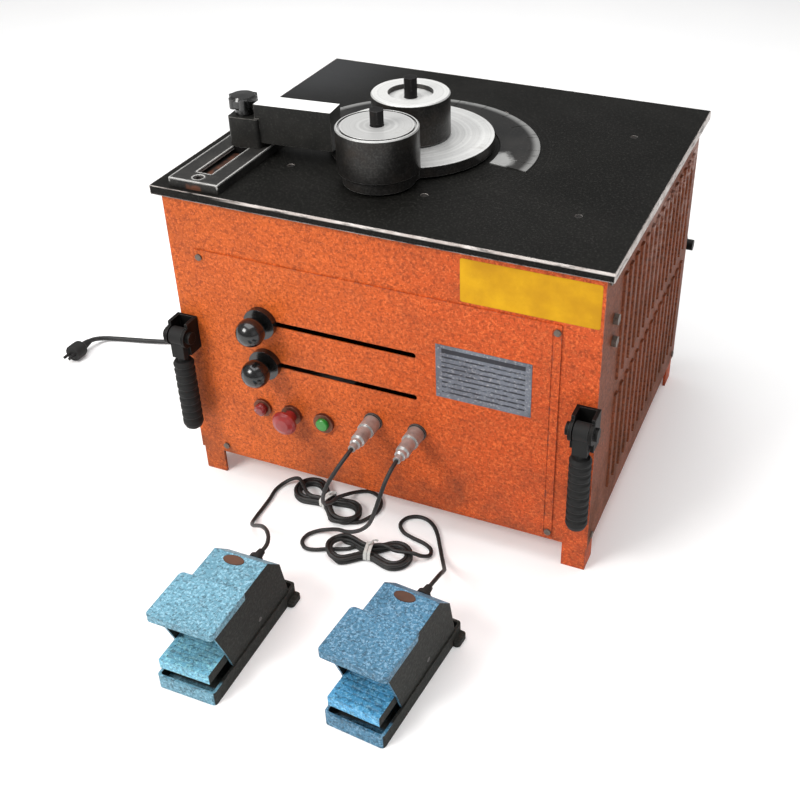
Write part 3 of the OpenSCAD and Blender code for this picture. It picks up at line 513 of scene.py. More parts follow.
def pedal_paint(name, blue, origin_y):
    """Hammered blue on hood, treadle and toe end; the sides, back and base behind the toe end near-black as
    painted shade.
    """
    g = Graph(name)
    _, y, z = g.axes()
    nx, ny, _ = g.axes(g.normal)
    # faces turned sideways or backwards, save the hood's lip, and the base behind the toe end are painted
    # near-black: painted shade
    side = g.ramp(g.absolute(nx), 0.55, 0.75)
    back = g.ramp(ny, 0.75, 0.9)
    lip = g.times(g.ramp(z, LIP_Z - 0.0006, LIP_Z), g.ramp(y, origin_y - 0.008, origin_y - 0.012))
    black = g.times(g.larger(side, back), g.minus(1.0, lip))
    base = g.times(g.ramp(z, BASE_Z, BASE_Z - 0.0004), g.ramp(y, origin_y - 0.080, origin_y - 0.074))
    black = g.larger(black, base)
    color = g.mix(g.ramp(g.noise(9, 5, 0.6), 0.35, 0.75), blue, scaled(blue, 0.74))
    color = speckle(g, color, scaled(blue, 0.26), lighter(blue, 1.5, 0.20), 0.75)
    dirt = g.ramp(g.noise(30, 6, 0.7), 0.52, 0.72)
    color = g.mix(g.times(dirt, 0.35), color, (0.035, 0.045, 0.05))
    chips = g.times(g.edges(0.0016), g.ramp(g.noise(85, 5, 0.7), 0.46, 0.58))
    color = g.mix(g.times(chips, 0.5), color, (0.16, 0.17, 0.17))
    # the mottled near-black of the painted shade
    grey = g.mix(g.ramp(g.noise(260, 5, 0.75), 0.42, 0.72), PEDAL_SHADE_BLACK, scaled(PEDAL_SHADE_BLACK, 3))
    grey = g.mix(g.times(chips, 0.6), grey, (0.09, 0.09, 0.085))
    color = g.mix(black, color, grey)
    height = g.plus(g.cells(330), g.times(g.noise(420, 3), 0.5))
    normal = g.bump(height, 0.00035, 0.5, under=g.rounded(0.0012))
    rough = g.blend(black, g.plus(0.40, g.times(g.noise(60, 4), 0.18)), 0.72)
    return g.set(color=color, rough=rough, normal=normal, specular=0.3)


def turned_steel(name, centre, side=(0.020, 0.019, 0.018), top=(0.84, 0.84, 0.825)):
    """Steel turned about an upright axis: bright ringed ends as painted highlight, and a side painted
    near-black as painted shade, with stains.
    """
    g = Graph(name)
    x, y, z = g.axes()
    nz = g.axes(g.normal)[2]
    r = g.distance(g.minus(x, centre[0]), g.minus(y, centre[1]))
    along = g.point(r, 0.0, z)
    rings = g.noise(1500, 2, 0.6, at=along)
    wide = g.noise(230, 3, 0.6, at=along)
    stains = g.noise(26, 6, 0.65)
    pits = g.ramp(g.noise(300, 4, 0.7), 0.56, 0.72)
    bright = g.mix(g.ramp(wide, 0.3, 0.7), top, scaled(top, 0.78))
    bright = g.mix(g.times(g.ramp(stains, 0.50, 0.80), 0.45), bright, (0.20, 0.18, 0.16))
    bright = g.mix(g.times(pits, 0.22), bright, (0.10, 0.09, 0.08))
    shaded_side = g.mix(g.ramp(g.noise(340, 4, 0.7), 0.42, 0.72), side, scaled(side, 2.4))
    shaded_side = g.mix(g.times(g.ramp(stains, 0.42, 0.75), 0.5), shaded_side, (0.050, 0.036, 0.026))
    shaded_side = g.mix(g.times(g.ramp(wide, 0.52, 0.75), 0.35), shaded_side, (0.11, 0.105, 0.10))
    # faces turned up take the bright steel and the rest the dark side: painted highlight and painted shade
    up = g.ramp(nz, 0.45, 0.85)
    color = g.mix(up, shaded_side, bright)
    color = g.mix(g.times(g.edges(0.0012), 0.65), color, (0.78, 0.78, 0.77))
    rough = g.plus(0.30, g.times(g.ramp(stains, 0.4, 0.8), 0.26))
    height = g.plus(g.times(rings, 0.6), g.times(wide, 0.4))
    normal = g.bump(height, 0.00008, 0.7, under=g.rounded(0.0008))
    return g.set(color=color, metal=g.blend(up, 0.55, 0.38), rough=rough, normal=normal)


def plain_steel(name, tone, rough_base=0.32, rust=0.25, scale=1.0, metal=0.9):
    """Rolled or ground steel with light scratches, stains and brighter edges."""
    g = Graph(name)
    stains = g.noise(22 * scale, 6, 0.65)
    scratches = g.noise(60, 4, 0.7, at=g.stretch((1, 14, 14)))
    color = g.mix(g.ramp(stains, 0.35, 0.8), tone, scaled(tone, 0.55))
    rusty = g.ramp(g.noise(48 * scale, 7, 0.75), 0.58, 0.78)
    color = g.mix(g.times(rusty, rust), color, (0.12, 0.065, 0.04))
    color = g.mix(g.times(g.edges(0.0009), 0.55), color, lighter(tone, 1.6, 0.12))
    rough = g.plus(rough_base, g.times(stains, 0.22))
    rough = g.plus(rough, g.times(scratches, 0.08))
    normal = g.bump(scratches, 0.00006, 0.6, under=g.rounded(0.0006))
    return g.set(color=color, metal=metal, rough=rough, normal=normal)


def cast_metal(name, tone):
    """Sand-cast metal under thin machine paint."""
    g = Graph(name)
    lumps = g.noise(150, 5, 0.65)
    color = g.mix(g.ramp(g.noise(12, 5), 0.3, 0.7), tone, scaled(tone, 0.7))
    oily = g.ramp(g.noise(40, 6, 0.7), 0.55, 0.75)
    color = g.mix(g.times(oily, 0.4), color, (0.06, 0.045, 0.035))
    rough = g.plus(0.5, g.times(lumps, 0.2))
    normal = g.bump(lumps, 0.0007, 0.6, under=g.rounded(0.0015))
    return g.set(color=color, metal=0.15, rough=rough, normal=normal)


def rubber(name, tone, scale=1.0):
    """Matt moulded rubber, greyed where it is handled."""
    g = Graph(name)
    wear = g.noise(35 * scale, 5, 0.65)
    color = g.mix(g.ramp(wear, 0.4, 0.8), (tone, tone, tone), (tone * 2.1, tone * 2.05, tone * 1.95))
    color = g.mix(g.times(g.edges(0.0012), 0.4), color, (tone * 4, tone * 4, tone * 3.8))
    dust = g.ramp(g.noise(90 * scale, 6, 0.8), 0.62, 0.8)
    color = g.mix(g.times(dust, 0.25), color, (0.10, 0.08, 0.06))
    rough = g.plus(0.62, g.times(wear, 0.22))
    normal = g.bump(g.noise(700 * scale, 3, 0.6), 0.00015, 0.6, under=g.rounded(0.0008))
    return g.set(color=color, rough=rough, normal=normal, specular=0.35)


def cord_skin(name, tone=0.010):
    """Soft black cable sheath, fine-grained and scuffed."""
    g = Graph(name)
    scuffs = g.noise(120, 5, 0.7)
    color = g.mix(g.ramp(scuffs, 0.45, 0.8), (tone, tone, tone), (tone * 3.4, tone * 3.3, tone * 3.1))
    rough = g.plus(0.42, g.times(scuffs, 0.25))
    normal = g.bump(g.noise(1400, 2, 0.5), 0.00008, 0.5)
    return g.set(color=color, rough=rough, normal=normal)


def plastic(name, tone, rough=0.22, coat=0.25):
    """Moulded plastic with a faint flow texture and small scratches."""
    g = Graph(name)
    haze = g.noise(55, 5, 0.6)
    color = g.mix(g.ramp(haze, 0.35, 0.75), tone, scaled(tone, 0.72))
    specks = g.ramp(g.noise(240, 5, 0.8), 0.6, 0.8)
    color = g.mix(g.times(specks, 0.18), color, lighter(tone, 1.5, 0.05))
    scratch = g.noise(90, 4, 0.75, at=g.stretch((1, 1, 9)))
    normal = g.bump(scratch, 0.00004, 0.5, under=g.rounded(0.0005))
    return g.set(color=color, rough=g.plus(rough, g.times(scratch, 0.16)), normal=normal,
                 coat=coat, coat_rough=0.08)


def table_steel():
    """Blackened plate: oil and scratches on top, swept marks round the turntable, a paler patch of painted
    reflection and wear, and bright sides and edges of wear and painted highlight.
    """
    g = Graph("table_steel")
    x, y, z = g.axes()
    nz = g.axes(g.normal)[2]
    oil = g.noise(5.5, 6, 0.62, distort=0.4)
    grain = g.noise(330, 4, 0.7)
    color = g.mix(g.ramp(oil, 0.35, 0.7), (0.0032, 0.0031, 0.0026), (0.0064, 0.0061, 0.0053))
    color = g.mix(g.times(g.ramp(grain, 0.50, 0.68), 0.5), color, (0.034, 0.033, 0.030))
    # paler at the back left: painted reflection and wear
    paler = g.times(g.ramp(x, -0.12, -0.30), g.ramp(y, 0.15, 0.35))
    color = g.mix(g.times(paler, 0.8), color, (0.040, 0.041, 0.043))
    long_marks = g.noise(16, 5, 0.75, at=g.stretch((1.2, 26, 26)))
    color = g.mix(g.times(g.ramp(long_marks, 0.62, 0.72), 0.25), color, (0.055, 0.054, 0.050))
    r = g.distance(g.minus(x, SPINDLE[0]), g.minus(y, SPINDLE[1]))
    arcs = g.noise(900, 3, 0.7, at=g.point(r, 0.0, 0.0))
    swept = g.times(g.ramp(r, 0.215, 0.17), g.ramp(arcs, 0.5, 0.75))
    color = g.mix(g.times(swept, 0.3), color, (0.10, 0.098, 0.093))
    # the plate's own edges and the upper part of its sides in bright steel: wear and painted highlight
    off_x = g.absolute(x)
    off_y = g.absolute(g.minus(y, TABLE_MID_Y))
    rim = g.larger(g.ramp(off_x, TABLE_HALF_X - 0.010, TABLE_HALF_X - 0.005),
                   g.ramp(off_y, TABLE_HALF_Y - 0.008, TABLE_HALF_Y - 0.0035))
    edge = g.edges(0.0022, 0.01, 0.12)
    worn = g.times(g.times(edge, rim), g.ramp(g.noise(55, 6, 0.7), 0.30, 0.52))
    side = g.ramp(g.absolute(nz), 0.7, 0.3)
    band_gaps = g.ramp(g.noise(30, 6, 0.72, at=g.stretch((1, 1, 5))), 0.30, 0.52)
    upper = g.times(g.ramp(z, TABLE_TOP - 0.0045, TABLE_TOP - 0.0028), g.ramp(x, -0.22, -0.15))
    right = g.ramp(x, TABLE_HALF_X - 0.0010, TABLE_HALF_X - 0.0002)
    bright_side_band = g.times(g.times(side, band_gaps), g.larger(upper, right))
    steel = g.mix(g.ramp(g.noise(45, 5), 0.3, 0.7), (0.74, 0.69, 0.66), (0.50, 0.44, 0.41))
    metal = g.larger(worn, bright_side_band)
    color = g.mix(metal, color, steel)
    rough = g.plus(0.46, g.times(g.ramp(oil, 0.3, 0.7), -0.09))
    rough = g.plus(rough, g.times(grain, 0.18))
    height = g.plus(g.times(grain, 0.6), g.times(g.noise(40, 5, 0.6), 0.8))
    normal = g.bump(height, 0.00022, 0.5, under=g.rounded(0.0012))
    return g.set(color=color, metal=g.times(metal, 0.3), rough=rough, normal=normal, specular=0.10)


RUB_SPOT = (0.074, 0.126)


def scale_steel():
    """Dark dial plate with a worn rim and a paler patch where bars drag over it."""
    g = Graph("dial_steel")
    x, y, _ = g.axes()
    r = g.distance(g.minus(x, SPINDLE[0]), g.minus(y, SPINDLE[1]))
    grain = g.noise(300, 4, 0.7)
    color = g.mix(g.ramp(g.noise(14, 5), 0.35, 0.7), (0.010, 0.010, 0.010), (0.022, 0.021, 0.020))
    color = g.mix(g.times(g.ramp(grain, 0.5, 0.7), 0.5), color, (0.05, 0.05, 0.048))
    rim = g.times(g.ramp(r, 0.158, 0.168), g.ramp(g.noise(30, 5, 0.7), 0.25, 0.50))
    color = g.mix(g.times(rim, 0.85), color, (0.24, 0.24, 0.235))
    wobble = g.times(g.minus(g.noise(60, 5, 0.7), 0.5), 0.030)
    px, py = g.minus(x, RUB_SPOT[0]), g.minus(y, RUB_SPOT[1])
    far = g.math("SQRT", g.plus(g.times(px, px), g.times(g.times(py, py), 0.55)))
    rubbed = g.times(g.ramp(g.plus(far, wobble), 0.028, 0.016), 0.85)
    color = g.mix(rubbed, color, (0.46, 0.46, 0.45))
    normal = g.bump(grain, 0.0001, 0.5, under=g.rounded(0.0006))
    return g.set(color=color, metal=g.plus(0.15, g.times(rubbed, 0.6)),
                 rough=g.plus(0.42, g.times(grain, 0.2)), normal=normal, specular=0.25)


def fence_steel():
    """Black fence whose top is painted near-white in patches as painted highlight."""
    g = Graph("fence_steel")
    z = g.axes()[2]
    nz = g.axes(g.normal)[2]
    top = g.times(g.ramp(nz, 0.5, 0.9), g.ramp(z, FENCE_TOP - 0.011, FENCE_TOP - 0.004))
    patchy = g.ramp(g.noise(45, 6, 0.7), 0.22, 0.42)
    color = g.mix(g.ramp(g.noise(30, 5), 0.35, 0.7), (0.012, 0.012, 0.011), (0.022, 0.021, 0.019))
    grain = g.ramp(g.noise(340, 4, 0.7), 0.5, 0.7)
    color = g.mix(g.times(grain, 0.5), color, (0.05, 0.048, 0.044))
    worn = g.times(g.edges(0.0014), g.ramp(g.noise(90, 5), 0.4, 0.6))
    color = g.mix(worn, color, (0.25, 0.24, 0.22))
    # the top of the tall part painted near-white in patches: painted highlight
    bright = g.times(top, patchy)
    color = g.mix(bright, color, (0.90, 0.90, 0.89))
    normal = g.bump(g.noise(420, 4, 0.6), 0.00012, 0.6, under=g.rounded(0.0012))
    return g.set(color=color, metal=g.times(bright, 0.15), rough=g.blend(bright, 0.5, 0.4),
                 normal=normal, specular=0.3)


def fence_base_iron():
    """Black guide plate with painted highlights along its top arrises and rust in its slot."""
    g = Graph("fence_base_iron")
    x, _, z = g.axes()
    grain = g.noise(340, 4, 0.7)
    color = g.mix(g.ramp(g.noise(24, 5), 0.35, 0.7), (0.010, 0.0098, 0.0095), (0.024, 0.023, 0.021))
    color = g.mix(g.times(g.ramp(grain, 0.5, 0.7), 0.5), color, (0.06, 0.056, 0.05))
    low = g.ramp(z, FENCE_BASE_TOP - 0.003, FENCE_BASE_TOP - 0.007)
    slot = g.times(g.ramp(g.absolute(g.minus(x, FENCE_X)), 0.012, 0.009), low)
    rust = g.times(slot, g.ramp(g.noise(60, 5), 0.35, 0.6))
    color = g.mix(rust, color, (0.12, 0.045, 0.025))
    # the top arrises painted bright: painted highlight
    high = g.ramp(z, FENCE_BASE_TOP - 0.007, FENCE_BASE_TOP - 0.004)
    edge = g.times(g.edges(0.0042, 0.008, 0.09), high)
    edge = g.times(edge, g.ramp(g.noise(70, 5, 0.7), 0.24, 0.44))
    color = g.mix(edge, color, (0.72, 0.71, 0.69))
    normal = g.bump(grain, 0.00012, 0.6, under=g.rounded(0.0010))
    return g.set(color=color, metal=g.times(edge, 0.3), rough=g.plus(0.44, g.times(grain, 0.2)),
                 normal=normal, specular=0.3)


def screw_metal():
    """Dull screws on the panels, black ones in the table."""
    g = Graph("screw_metal")
    z = g.axes()[2]
    high = g.ramp(z, TABLE_UNDER - 0.003, TABLE_UNDER + 0.002)
    stains = g.noise(160, 5, 0.7)
    color = g.mix(high, (0.16, 0.13, 0.11), (0.016, 0.0155, 0.015))
    color = g.mix(g.times(g.ramp(stains, 0.45, 0.7), 0.5), color, (0.045, 0.028, 0.02))
    normal = g.bump(stains, 0.00006, 0.6, under=g.rounded(0.0005))
    return g.set(color=color, metal=g.blend(high, 0.6, 0.1), rough=g.plus(0.4, g.times(stains, 0.2)),
                 normal=normal, specular=0.3)


# the print on the data plate in metres: its sides, its rows of rules and the bar above them
PLATE_LOW, PLATE_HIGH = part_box("data_plate")
PRINT_LEFT, PRINT_RIGHT = PLATE_LOW.x + 0.008, PLATE_HIGH.x - 0.008
RULE_FROM_Z, RULE_STEP = PLATE_LOW.z + 0.0055, 0.0074
RULES_BOTTOM, RULES_TOP = PLATE_LOW.z + 0.0067, PLATE_HIGH.z - 0.0140
BAR_BOTTOM, BAR_TOP = PLATE_HIGH.z - 0.01125, PLATE_HIGH.z - 0.00475
SOFT = 0.0005


def plate_print():
    """Satin aluminium plate with a printed bar and rows of plain broken rules."""
    g = Graph("plate_print")
    x, _, z = g.axes()
    row = g.math("FRACT", g.times(g.minus(z, RULE_FROM_Z), 1 / RULE_STEP))
    rows = g.times(g.ramp(row, 0.30, 0.36), g.ramp(row, 0.70, 0.64))
    gaps = g.ramp(g.noise(95, 3, 0.7, at=g.stretch((1, 1, 6))), 0.40, 0.46)
    inside = g.times(g.ramp(x, PRINT_LEFT - SOFT, PRINT_LEFT + SOFT),
                     g.ramp(x, PRINT_RIGHT + SOFT, PRINT_RIGHT - SOFT))
    body = g.times(g.times(rows, inside), g.ramp(z, RULES_TOP + SOFT, RULES_TOP - SOFT))
    body = g.times(body, g.times(gaps, g.ramp(z, RULES_BOTTOM - SOFT, RULES_BOTTOM + SOFT)))
    bar = g.times(g.ramp(z, BAR_BOTTOM - SOFT / 2, BAR_BOTTOM + SOFT / 2),
                  g.ramp(z, BAR_TOP + SOFT / 2, BAR_TOP - SOFT / 2))
    ink = g.larger(body, g.times(bar, inside))
    tone = g.mix(g.ramp(g.noise(26, 5), 0.35, 0.7), (0.17, 0.185, 0.22), (0.11, 0.115, 0.14))
    specks = g.ramp(g.noise(260, 5, 0.8), 0.52, 0.66)
    tone = g.mix(g.times(specks, 0.7), tone, (0.50, 0.48, 0.48))
    color = g.mix(g.times(ink, 0.92), tone, (0.014, 0.013, 0.019))
    rough = g.plus(0.34, g.times(g.noise(80, 4), 0.2))
    normal = g.bump(g.noise(500, 3), 0.00005, 0.5, under=g.rounded(0.0004))
    return g.set(color=color, metal=0.25, rough=rough, normal=normal)


def vinyl(name, tone, deep, rubbed):
    """Vinyl with dirt at its edges and small rubbed spots."""
    g = Graph(name)
    color = g.mix(g.ramp(g.noise(18, 5), 0.3, 0.7), tone, deep)
    grain = g.ramp(g.noise(380, 3, 0.8), 0.52, 0.75)
    color = g.mix(g.times(grain, 0.35), color, deep)
    spots = g.ramp(g.noise(55, 6, 0.75), 0.60, 0.74)
    color = g.mix(g.times(spots, 0.4), color, rubbed)
    color = g.mix(g.times(g.edges(0.0020), 0.35), color, scaled(deep, 0.4))
    normal = g.bump(g.noise(120, 4), 0.0001, 0.4)
    rough = g.plus(0.46, g.times(g.noise(70, 4), 0.2))
    return g.set(color=color, rough=rough, normal=normal, specular=0.2)


def floor_finish():
    """Pale matt floor with hardly visible mottling, which gives off a little light of its own."""
    g = Graph("pale_floor")
    color = g.mix(g.ramp(g.noise(3, 4), 0.3, 0.7), (0.90, 0.90, 0.90), (0.88, 0.88, 0.885))
    return g.set(color=color, rough=0.85, specular=0.1, emit=(1.0, 1.0, 1.0), emit_strength=0.16)


# a darker, browner copy of the orange enamel for the side and back covers: painted shade
SHADED_ORANGE = (0.26, 0.060, 0.020)
# place of each pedal on the floor in mm, and its turn in degrees
PEDALS = {"left": (-80, -360, 0), "right": (133, -338, -5)}
LEFT_PEDAL_Y, RIGHT_PEDAL_Y = (PEDALS[side][1] * MM for side in ("left", "right"))

orange = paint("orange_enamel", (0.59, 0.118, 0.015), (0.59, 0.084, 0.016), grain=0.7)
# the side and back covers: the darker orange under a dark veil, both painted shade, with paler streaks high
# on the right side
orange_painted_shade = paint("orange_painted_shade", SHADED_ORANGE, SHADED_ORANGE, dust=0.25, darkening_color=(0.075, 0.034, 0.018),
                    grain=0.9, streaks=0.75, gloss=0.10)
# the left pedal's blue is lighter than the right one's, and each treadle's lighter again: lit and shaded
# copies of one paint, painted light and painted shade
left_blue = pedal_paint("left_pedal_enamel", (0.138, 0.330, 0.435), LEFT_PEDAL_Y)
right_blue = pedal_paint("right_pedal_enamel", (0.060, 0.195, 0.315), RIGHT_PEDAL_Y)
left_tread_blue = pedal_paint("left_treadle_enamel", (0.19, 0.50, 0.68), LEFT_PEDAL_Y)
right_tread_blue = pedal_paint("right_treadle_enamel", (0.085, 0.36, 0.64), RIGHT_PEDAL_Y)
black_iron = plain_steel("black_iron", (0.020, 0.0195, 0.019), 0.45, 0.3)
base_iron = fence_base_iron()
black_oxide = plain_steel("black_oxide", (0.022, 0.021, 0.021), 0.40, 0.25)
zinc = plain_steel("zinc_plate", (0.46, 0.46, 0.45), 0.16, 0.2, 3, metal=0.55)
dark_zinc = plain_steel("dark_zinc", (0.075, 0.073, 0.070), 0.26, 0.2, 3, metal=0.4)
dull_zinc = screw_metal()
collar_metal = plain_steel("collar_metal", (0.20, 0.085, 0.055), 0.34, 0.4, 3)
gear_metal = plain_steel("gear_metal", (0.30, 0.29, 0.28), 0.30, 0.2)
bronze = plain_steel("rack_metal", (0.52, 0.33, 0.14), 0.32, 0.1)
grey_cast = cast_metal("grey_cast", (0.20, 0.22, 0.23))
grip_rubber = rubber("grip_rubber", 0.0060)
soft_rubber = rubber("gland_rubber", 0.010, 2)
sheath = cord_skin("cord_sheath")
red = plastic("red_plastic", (0.33, 0.020, 0.018))
lamp_red = plastic("lamp_lens", (0.24, 0.016, 0.016), 0.14, 0.5)
green = plastic("green_plastic", (0.030, 0.27, 0.035))
black_gloss = plastic("black_gloss", (0.0075, 0.0075, 0.0075), 0.16, 0.4)
table_mat = table_steel()
dial_mat = scale_steel()
fence_mat = fence_steel()
# the dark sides of these turned parts are painted shade and their bright tops painted highlight, dimmer on
# the bending roller
disc_mat = turned_steel("disc_steel", SPINDLE, side=(0.032, 0.031, 0.030))
centre_mat = turned_steel("centre_roller_steel", SPINDLE)
bending_mat = turned_steel("bending_roller_steel", PIN, top=(0.62, 0.62, 0.61))

# the material of every CAD node
LOOKS = {
    "table_plate": table_mat, "angle_scale": dial_mat, "fence_base": base_iron, "fence_bar": fence_mat,
    "fence_slider": black_oxide, "clamp_knob": black_gloss, "corner_posts": orange,
    "frame_rails": orange, "bottom_plate": orange, "front_panel": orange, "control_panel": orange,
    "left_cover": orange_painted_shade, "right_cover": orange_painted_shade, "back_cover": orange_painted_shade,
    "panel_screws": dull_zinc, "data_plate": plate_print(), "gearbox_case": grey_cast,
    "gearbox_lid": grey_cast, "motor_case": grey_cast, "control_box": grey_cast,
    "shaft_bearings": gear_metal, "pilot_lamp": lamp_red, "button_collars": collar_metal,
    "panel_sockets": dark_zinc, "pedal_plugs": zinc, "cord_glands": soft_rubber,
    "handle_brackets": black_iron, "spindle": gear_metal, "turntable": disc_mat,
    "spindle_gear": gear_metal, "trip_gear": gear_metal, "bending_pin": black_oxide,
    "centre_pin": black_oxide, "centre_roller": centre_mat, "bending_roller": bending_mat,
    "second_gear": gear_metal, "motor_rotor": gear_metal, "trip_rack": bronze,
    "upper_angle_knob": black_gloss, "lower_angle_knob": black_gloss, "stop_button": red,
    "start_button": green, "handle_front_left": grip_rubber, "handle_front_right": grip_rubber,
    "handle_rear_left": grip_rubber, "handle_rear_right": grip_rubber, "left_pedal_base": left_blue,
    "right_pedal_base": right_blue, "left_pedal_hood": left_blue, "right_pedal_hood": right_blue,
    "left_treadle": left_tread_blue, "right_treadle": right_tread_blue, "pedal_pins": dark_zinc,
    "power_plug": soft_rubber, "left_pedal_cord": sheath, "right_pedal_cord": sheath,
    "power_cord": sheath, "left_cord_hank": sheath, "right_cord_hank": sheath, "power_coil": sheath,
}
for node, obj in frame["nodes"].items():
    for slot in obj.material_slots:
        slot.link = "OBJECT"
        slot.material = LOOKS[node]

# ------------------------------------------------------------------ cords given their sheath and attached to the machine, their CAD stand-ins hidden

for obj, exit_at, line, size, far_end, pieces, nodes in (
    (left_cord, LEFT_A[0], left_line, PEDAL_CORD, "object", [], ("left_pedal_cord", "left_cord_hank")),
    (right_cord, RIGHT_A[0], right_line, PEDAL_CORD, "object", [], ("right_pedal_cord", "right_cord_hank")),
    (mains_cord, MAINS_A[0], mains_line, MAINS_CORD, "plug", [frame["nodes"]["power_plug"]],
     ("power_cord", "power_coil")),
):
    obj.data.materials.append(sheath)
    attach(obj, "machine")
    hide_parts(*nodes)


# ------------------------------------------------------------------ ties round the hanks

TIE_W = 2.2
TIE_SIDES = 24
TIE_CORNER = 0.55
END_W, END_T = 0.0013, 0.0005
END_TWIST = 0.55


def tie(name, place):
    """A flat tie wound twice round the waist of a hank, its end twisted and bent over."""
    bm = bmesh.new()
    c, s = math.cos(math.radians(place[2])), math.sin(math.radians(place[2]))

    def world(x, y, z):
        return Vector((place[0] + c * x - s * y, place[1] + s * x + c * y, z)) * MM

    def loop(offset, half_w, top, grow):
        """One slanting turn with rounded corners, grow mm thick."""
        rings = []
        for k in range(TIE_SIDES):
            a = 2 * math.pi * k / TIE_SIDES
            ca, sa = math.cos(a), math.sin(a)
            x = offset + 0.8 * math.sin(a)
            y = math.copysign(abs(ca) ** TIE_CORNER, ca) * half_w
            z = max(top / 2 + math.copysign(abs(sa) ** TIE_CORNER, sa) * top / 2, 0.4)
            inner = [bm.verts.new(world(x + dx, y, z)) for dx in (-TIE_W, TIE_W)]
            out_y = y * (1 + grow / half_w)
            out_z = z + (grow if z > top / 2 else 0)
            outer = [bm.verts.new(world(x + dx, out_y, out_z)) for dx in (TIE_W, -TIE_W)]
            rings.append(inner + outer)
        for a, b in zip(rings, rings[1:] + rings[:1]):
            for i in range(4):
                bm.faces.new((a[i], a[(i + 1) % 4], b[(i + 1) % 4], b[i]))

    loop(offset=-2.5, half_w=11.6, top=16.6, grow=0.9)
    loop(offset=2.6, half_w=11.6, top=16.9, grow=1.0)
    free_end = smooth_line([world(0, 3, 17.6), world(1.5, 2, 20.5), world(4, 3.5, 23),
                            world(8, 6, 24), world(12, 7, 22.5)], 0.0012)
    for k, (a, b) in enumerate(zip(free_end, free_end[1:])):
        along = (b - a).normalized()
        flat = along.orthogonal().normalized()
        flat.rotate(Matrix.Rotation(k * END_TWIST, 3, along))
        thin = along.cross(flat)
        corners = [bm.verts.new(p + flat * u * END_W + thin * v * END_T)
                   for p in (a, b + along * 0.0003)
                   for u, v in ((-1, -1), (1, -1), (1, 1), (-1, 1))]
        for i in range(4):
            bm.faces.new((corners[i], corners[(i + 1) % 4], corners[4 + (i + 1) % 4], corners[4 + i]))
        bm.faces.new(corners[3::-1])
        bm.faces.new(corners[4:])
    return mesh_object(name, bm, tie_mat, 40)


tie_mat = vinyl("tie_vinyl", (0.72, 0.72, 0.70), (0.55, 0.55, 0.53), (0.85, 0.85, 0.83))
for name, place in (("left_cord_tie", LEFT_HANK), ("right_cord_tie", RIGHT_HANK)):
    piece = tie(name, place)
    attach(piece, "machine")


# ------------------------------------------------------------------ stickers

def thin_plate(name, outline, thickness, place, material):
    """A thin sheet of the given outline in mm. place turns its (u, v, w) in mm into a point in metres."""
    bm = bmesh.new()
    front = [bm.verts.new((u, v, thickness)) for u, v in outline]
    back = [bm.verts.new((u, v, 0)) for u, v in outline]
    bm.faces.new(front)
    bm.faces.new(back[::-1])
    n = len(outline)
    for i in range(n):
        bm.faces.new((back[i], back[(i + 1) % n], front[(i + 1) % n], front[i]))
    bmesh.ops.triangulate(bm, faces=[f for f in bm.faces if len(f.verts) > 4])
    for v in bm.verts:
        v.co = place(*v.co)
    return mesh_object(name, bm, material)


def rounded_outline(x0, y0, x1, y1, r, n=5):
    """A rectangle with corners of radius r, each in n steps."""
    out = []
    corners = ((x1 - r, y1 - r, 0), (x0 + r, y1 - r, 90), (x0 + r, y0 + r, 180), (x1 - r, y0 + r, 270))
    for cx, cy, start in corners:
        for k in range(n + 1):
            a = math.radians(start + 90 * k / n)
            out.append((cx + r * math.cos(a), cy + r * math.sin(a)))
    return out


yellow = vinyl("yellow_vinyl", (0.70, 0.375, 0.004), (0.52, 0.250, 0.003), (0.78, 0.46, 0.02))
brown = vinyl("brown_vinyl", (0.115, 0.058, 0.038), (0.060, 0.032, 0.024), (0.22, 0.17, 0.14))
# the sticker's left, low, right and high side, its corners and its thickness, in mm
STICKER_SIDES = (115, 375, 286, 433)
STICKER_CORNER = 3
STICKER_T = 0.35
PANEL_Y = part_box("front_panel")[0].y / MM
sticker = thin_plate("yellow_sticker", rounded_outline(*STICKER_SIDES, STICKER_CORNER), STICKER_T,
                     lambda u, v, w: Vector((u, PANEL_Y - w, v)) * MM, yellow)
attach(sticker, "machine")

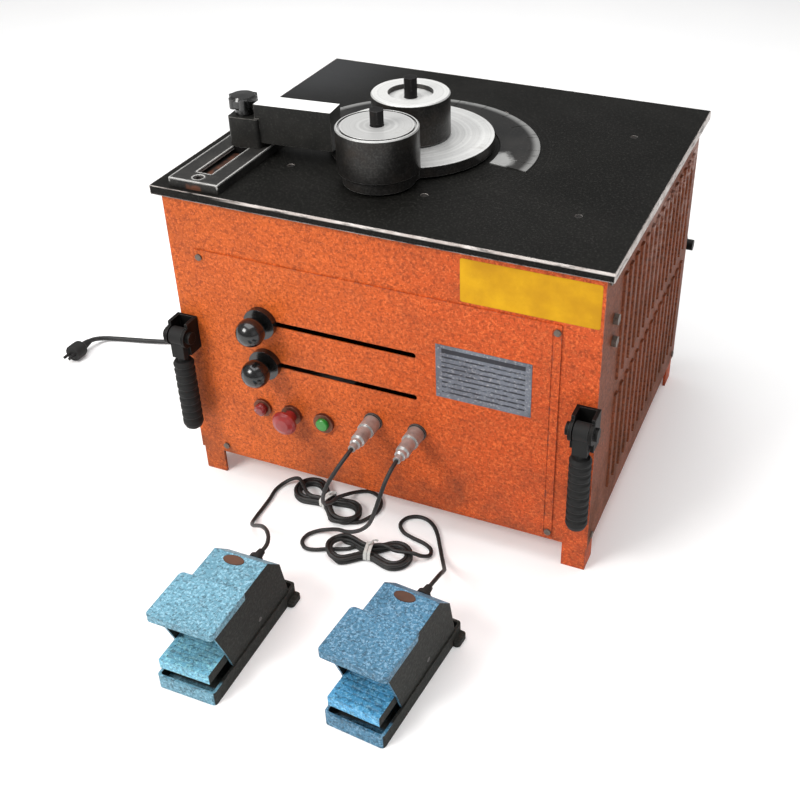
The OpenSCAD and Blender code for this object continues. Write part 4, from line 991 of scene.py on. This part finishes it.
# the badge on a pedal, in mm: its middle, the height of its underside, half its size and its thickness
BADGE_AT = (-4, 34)
BADGE_Z = 99
BADGE_HALF = (14, 7.5)
BADGE_T = 0.8


def pedal_point(place, x, y, z):
    """A point given in the pedal's own millimetres, in metres."""
    c, s = math.cos(math.radians(place[2])), math.sin(math.radians(place[2]))
    return Vector((place[0] + c * x - s * y, place[1] + s * x + c * y, z)) * MM


for side, place in PEDALS.items():
    oval = [(BADGE_HALF[0] * math.cos(math.radians(a)), BADGE_HALF[1] * math.sin(math.radians(a)))
            for a in range(0, 360, 12)]
    badge = thin_plate(f"{side}_pedal_badge", oval, BADGE_T, lambda u, v, w, place=place: pedal_point(
        place, BADGE_AT[0] + u, BADGE_AT[1] + v, BADGE_Z + w), brown)
    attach(badge, "machine")


# ------------------------------------------------------------------ floor and light

FLOOR_Z = -0.0004


def make_floor():
    bm = bmesh.new()
    corners = [bm.verts.new((x, y, FLOOR_Z)) for x, y in ((-9, -7), (9, -7), (9, 13), (-9, 13))]
    bm.faces.new(corners)
    floor = mesh_object("floor", bm, floor_finish())


def area_light(name, at, aim, size, energy, color=(1, 1, 1)):
    """A rectangular lamp at one point that shines at another."""
    data = bpy.data.lights.new(name, "AREA")
    data.shape = "RECTANGLE"
    data.size, data.size_y = size
    data.energy = energy
    data.color = color
    light = bpy.data.objects.new(name, data)
    light.location = at
    light.rotation_euler = (Vector(aim) - Vector(at)).to_track_quat("-Z", "Y").to_euler()
    scene.collection.objects.link(light)


make_floor()
area_light("key", (-1.6, -2.5, 2.6), (0, 0, 0.25), (1.6, 1.2), 100, (1.0, 0.985, 0.96))
area_light("top", (-0.2, 0.2, 3.0), (0, 0.1, 0.3), (3.0, 3.0), 95)
area_light("fill", (2.8, -1.6, 1.6), (0, 0, 0.2), (2.2, 2.0), 6, (0.97, 0.98, 1.0))
WORLD_STRENGTH = 0.30
world = bpy.data.worlds.new("studio")
world.use_nodes = True
background = world.node_tree.nodes["Background"]
background.inputs["Color"].default_value = (1, 1, 1, 1)
background.inputs["Strength"].default_value = WORLD_STRENGTH
scene.world = world
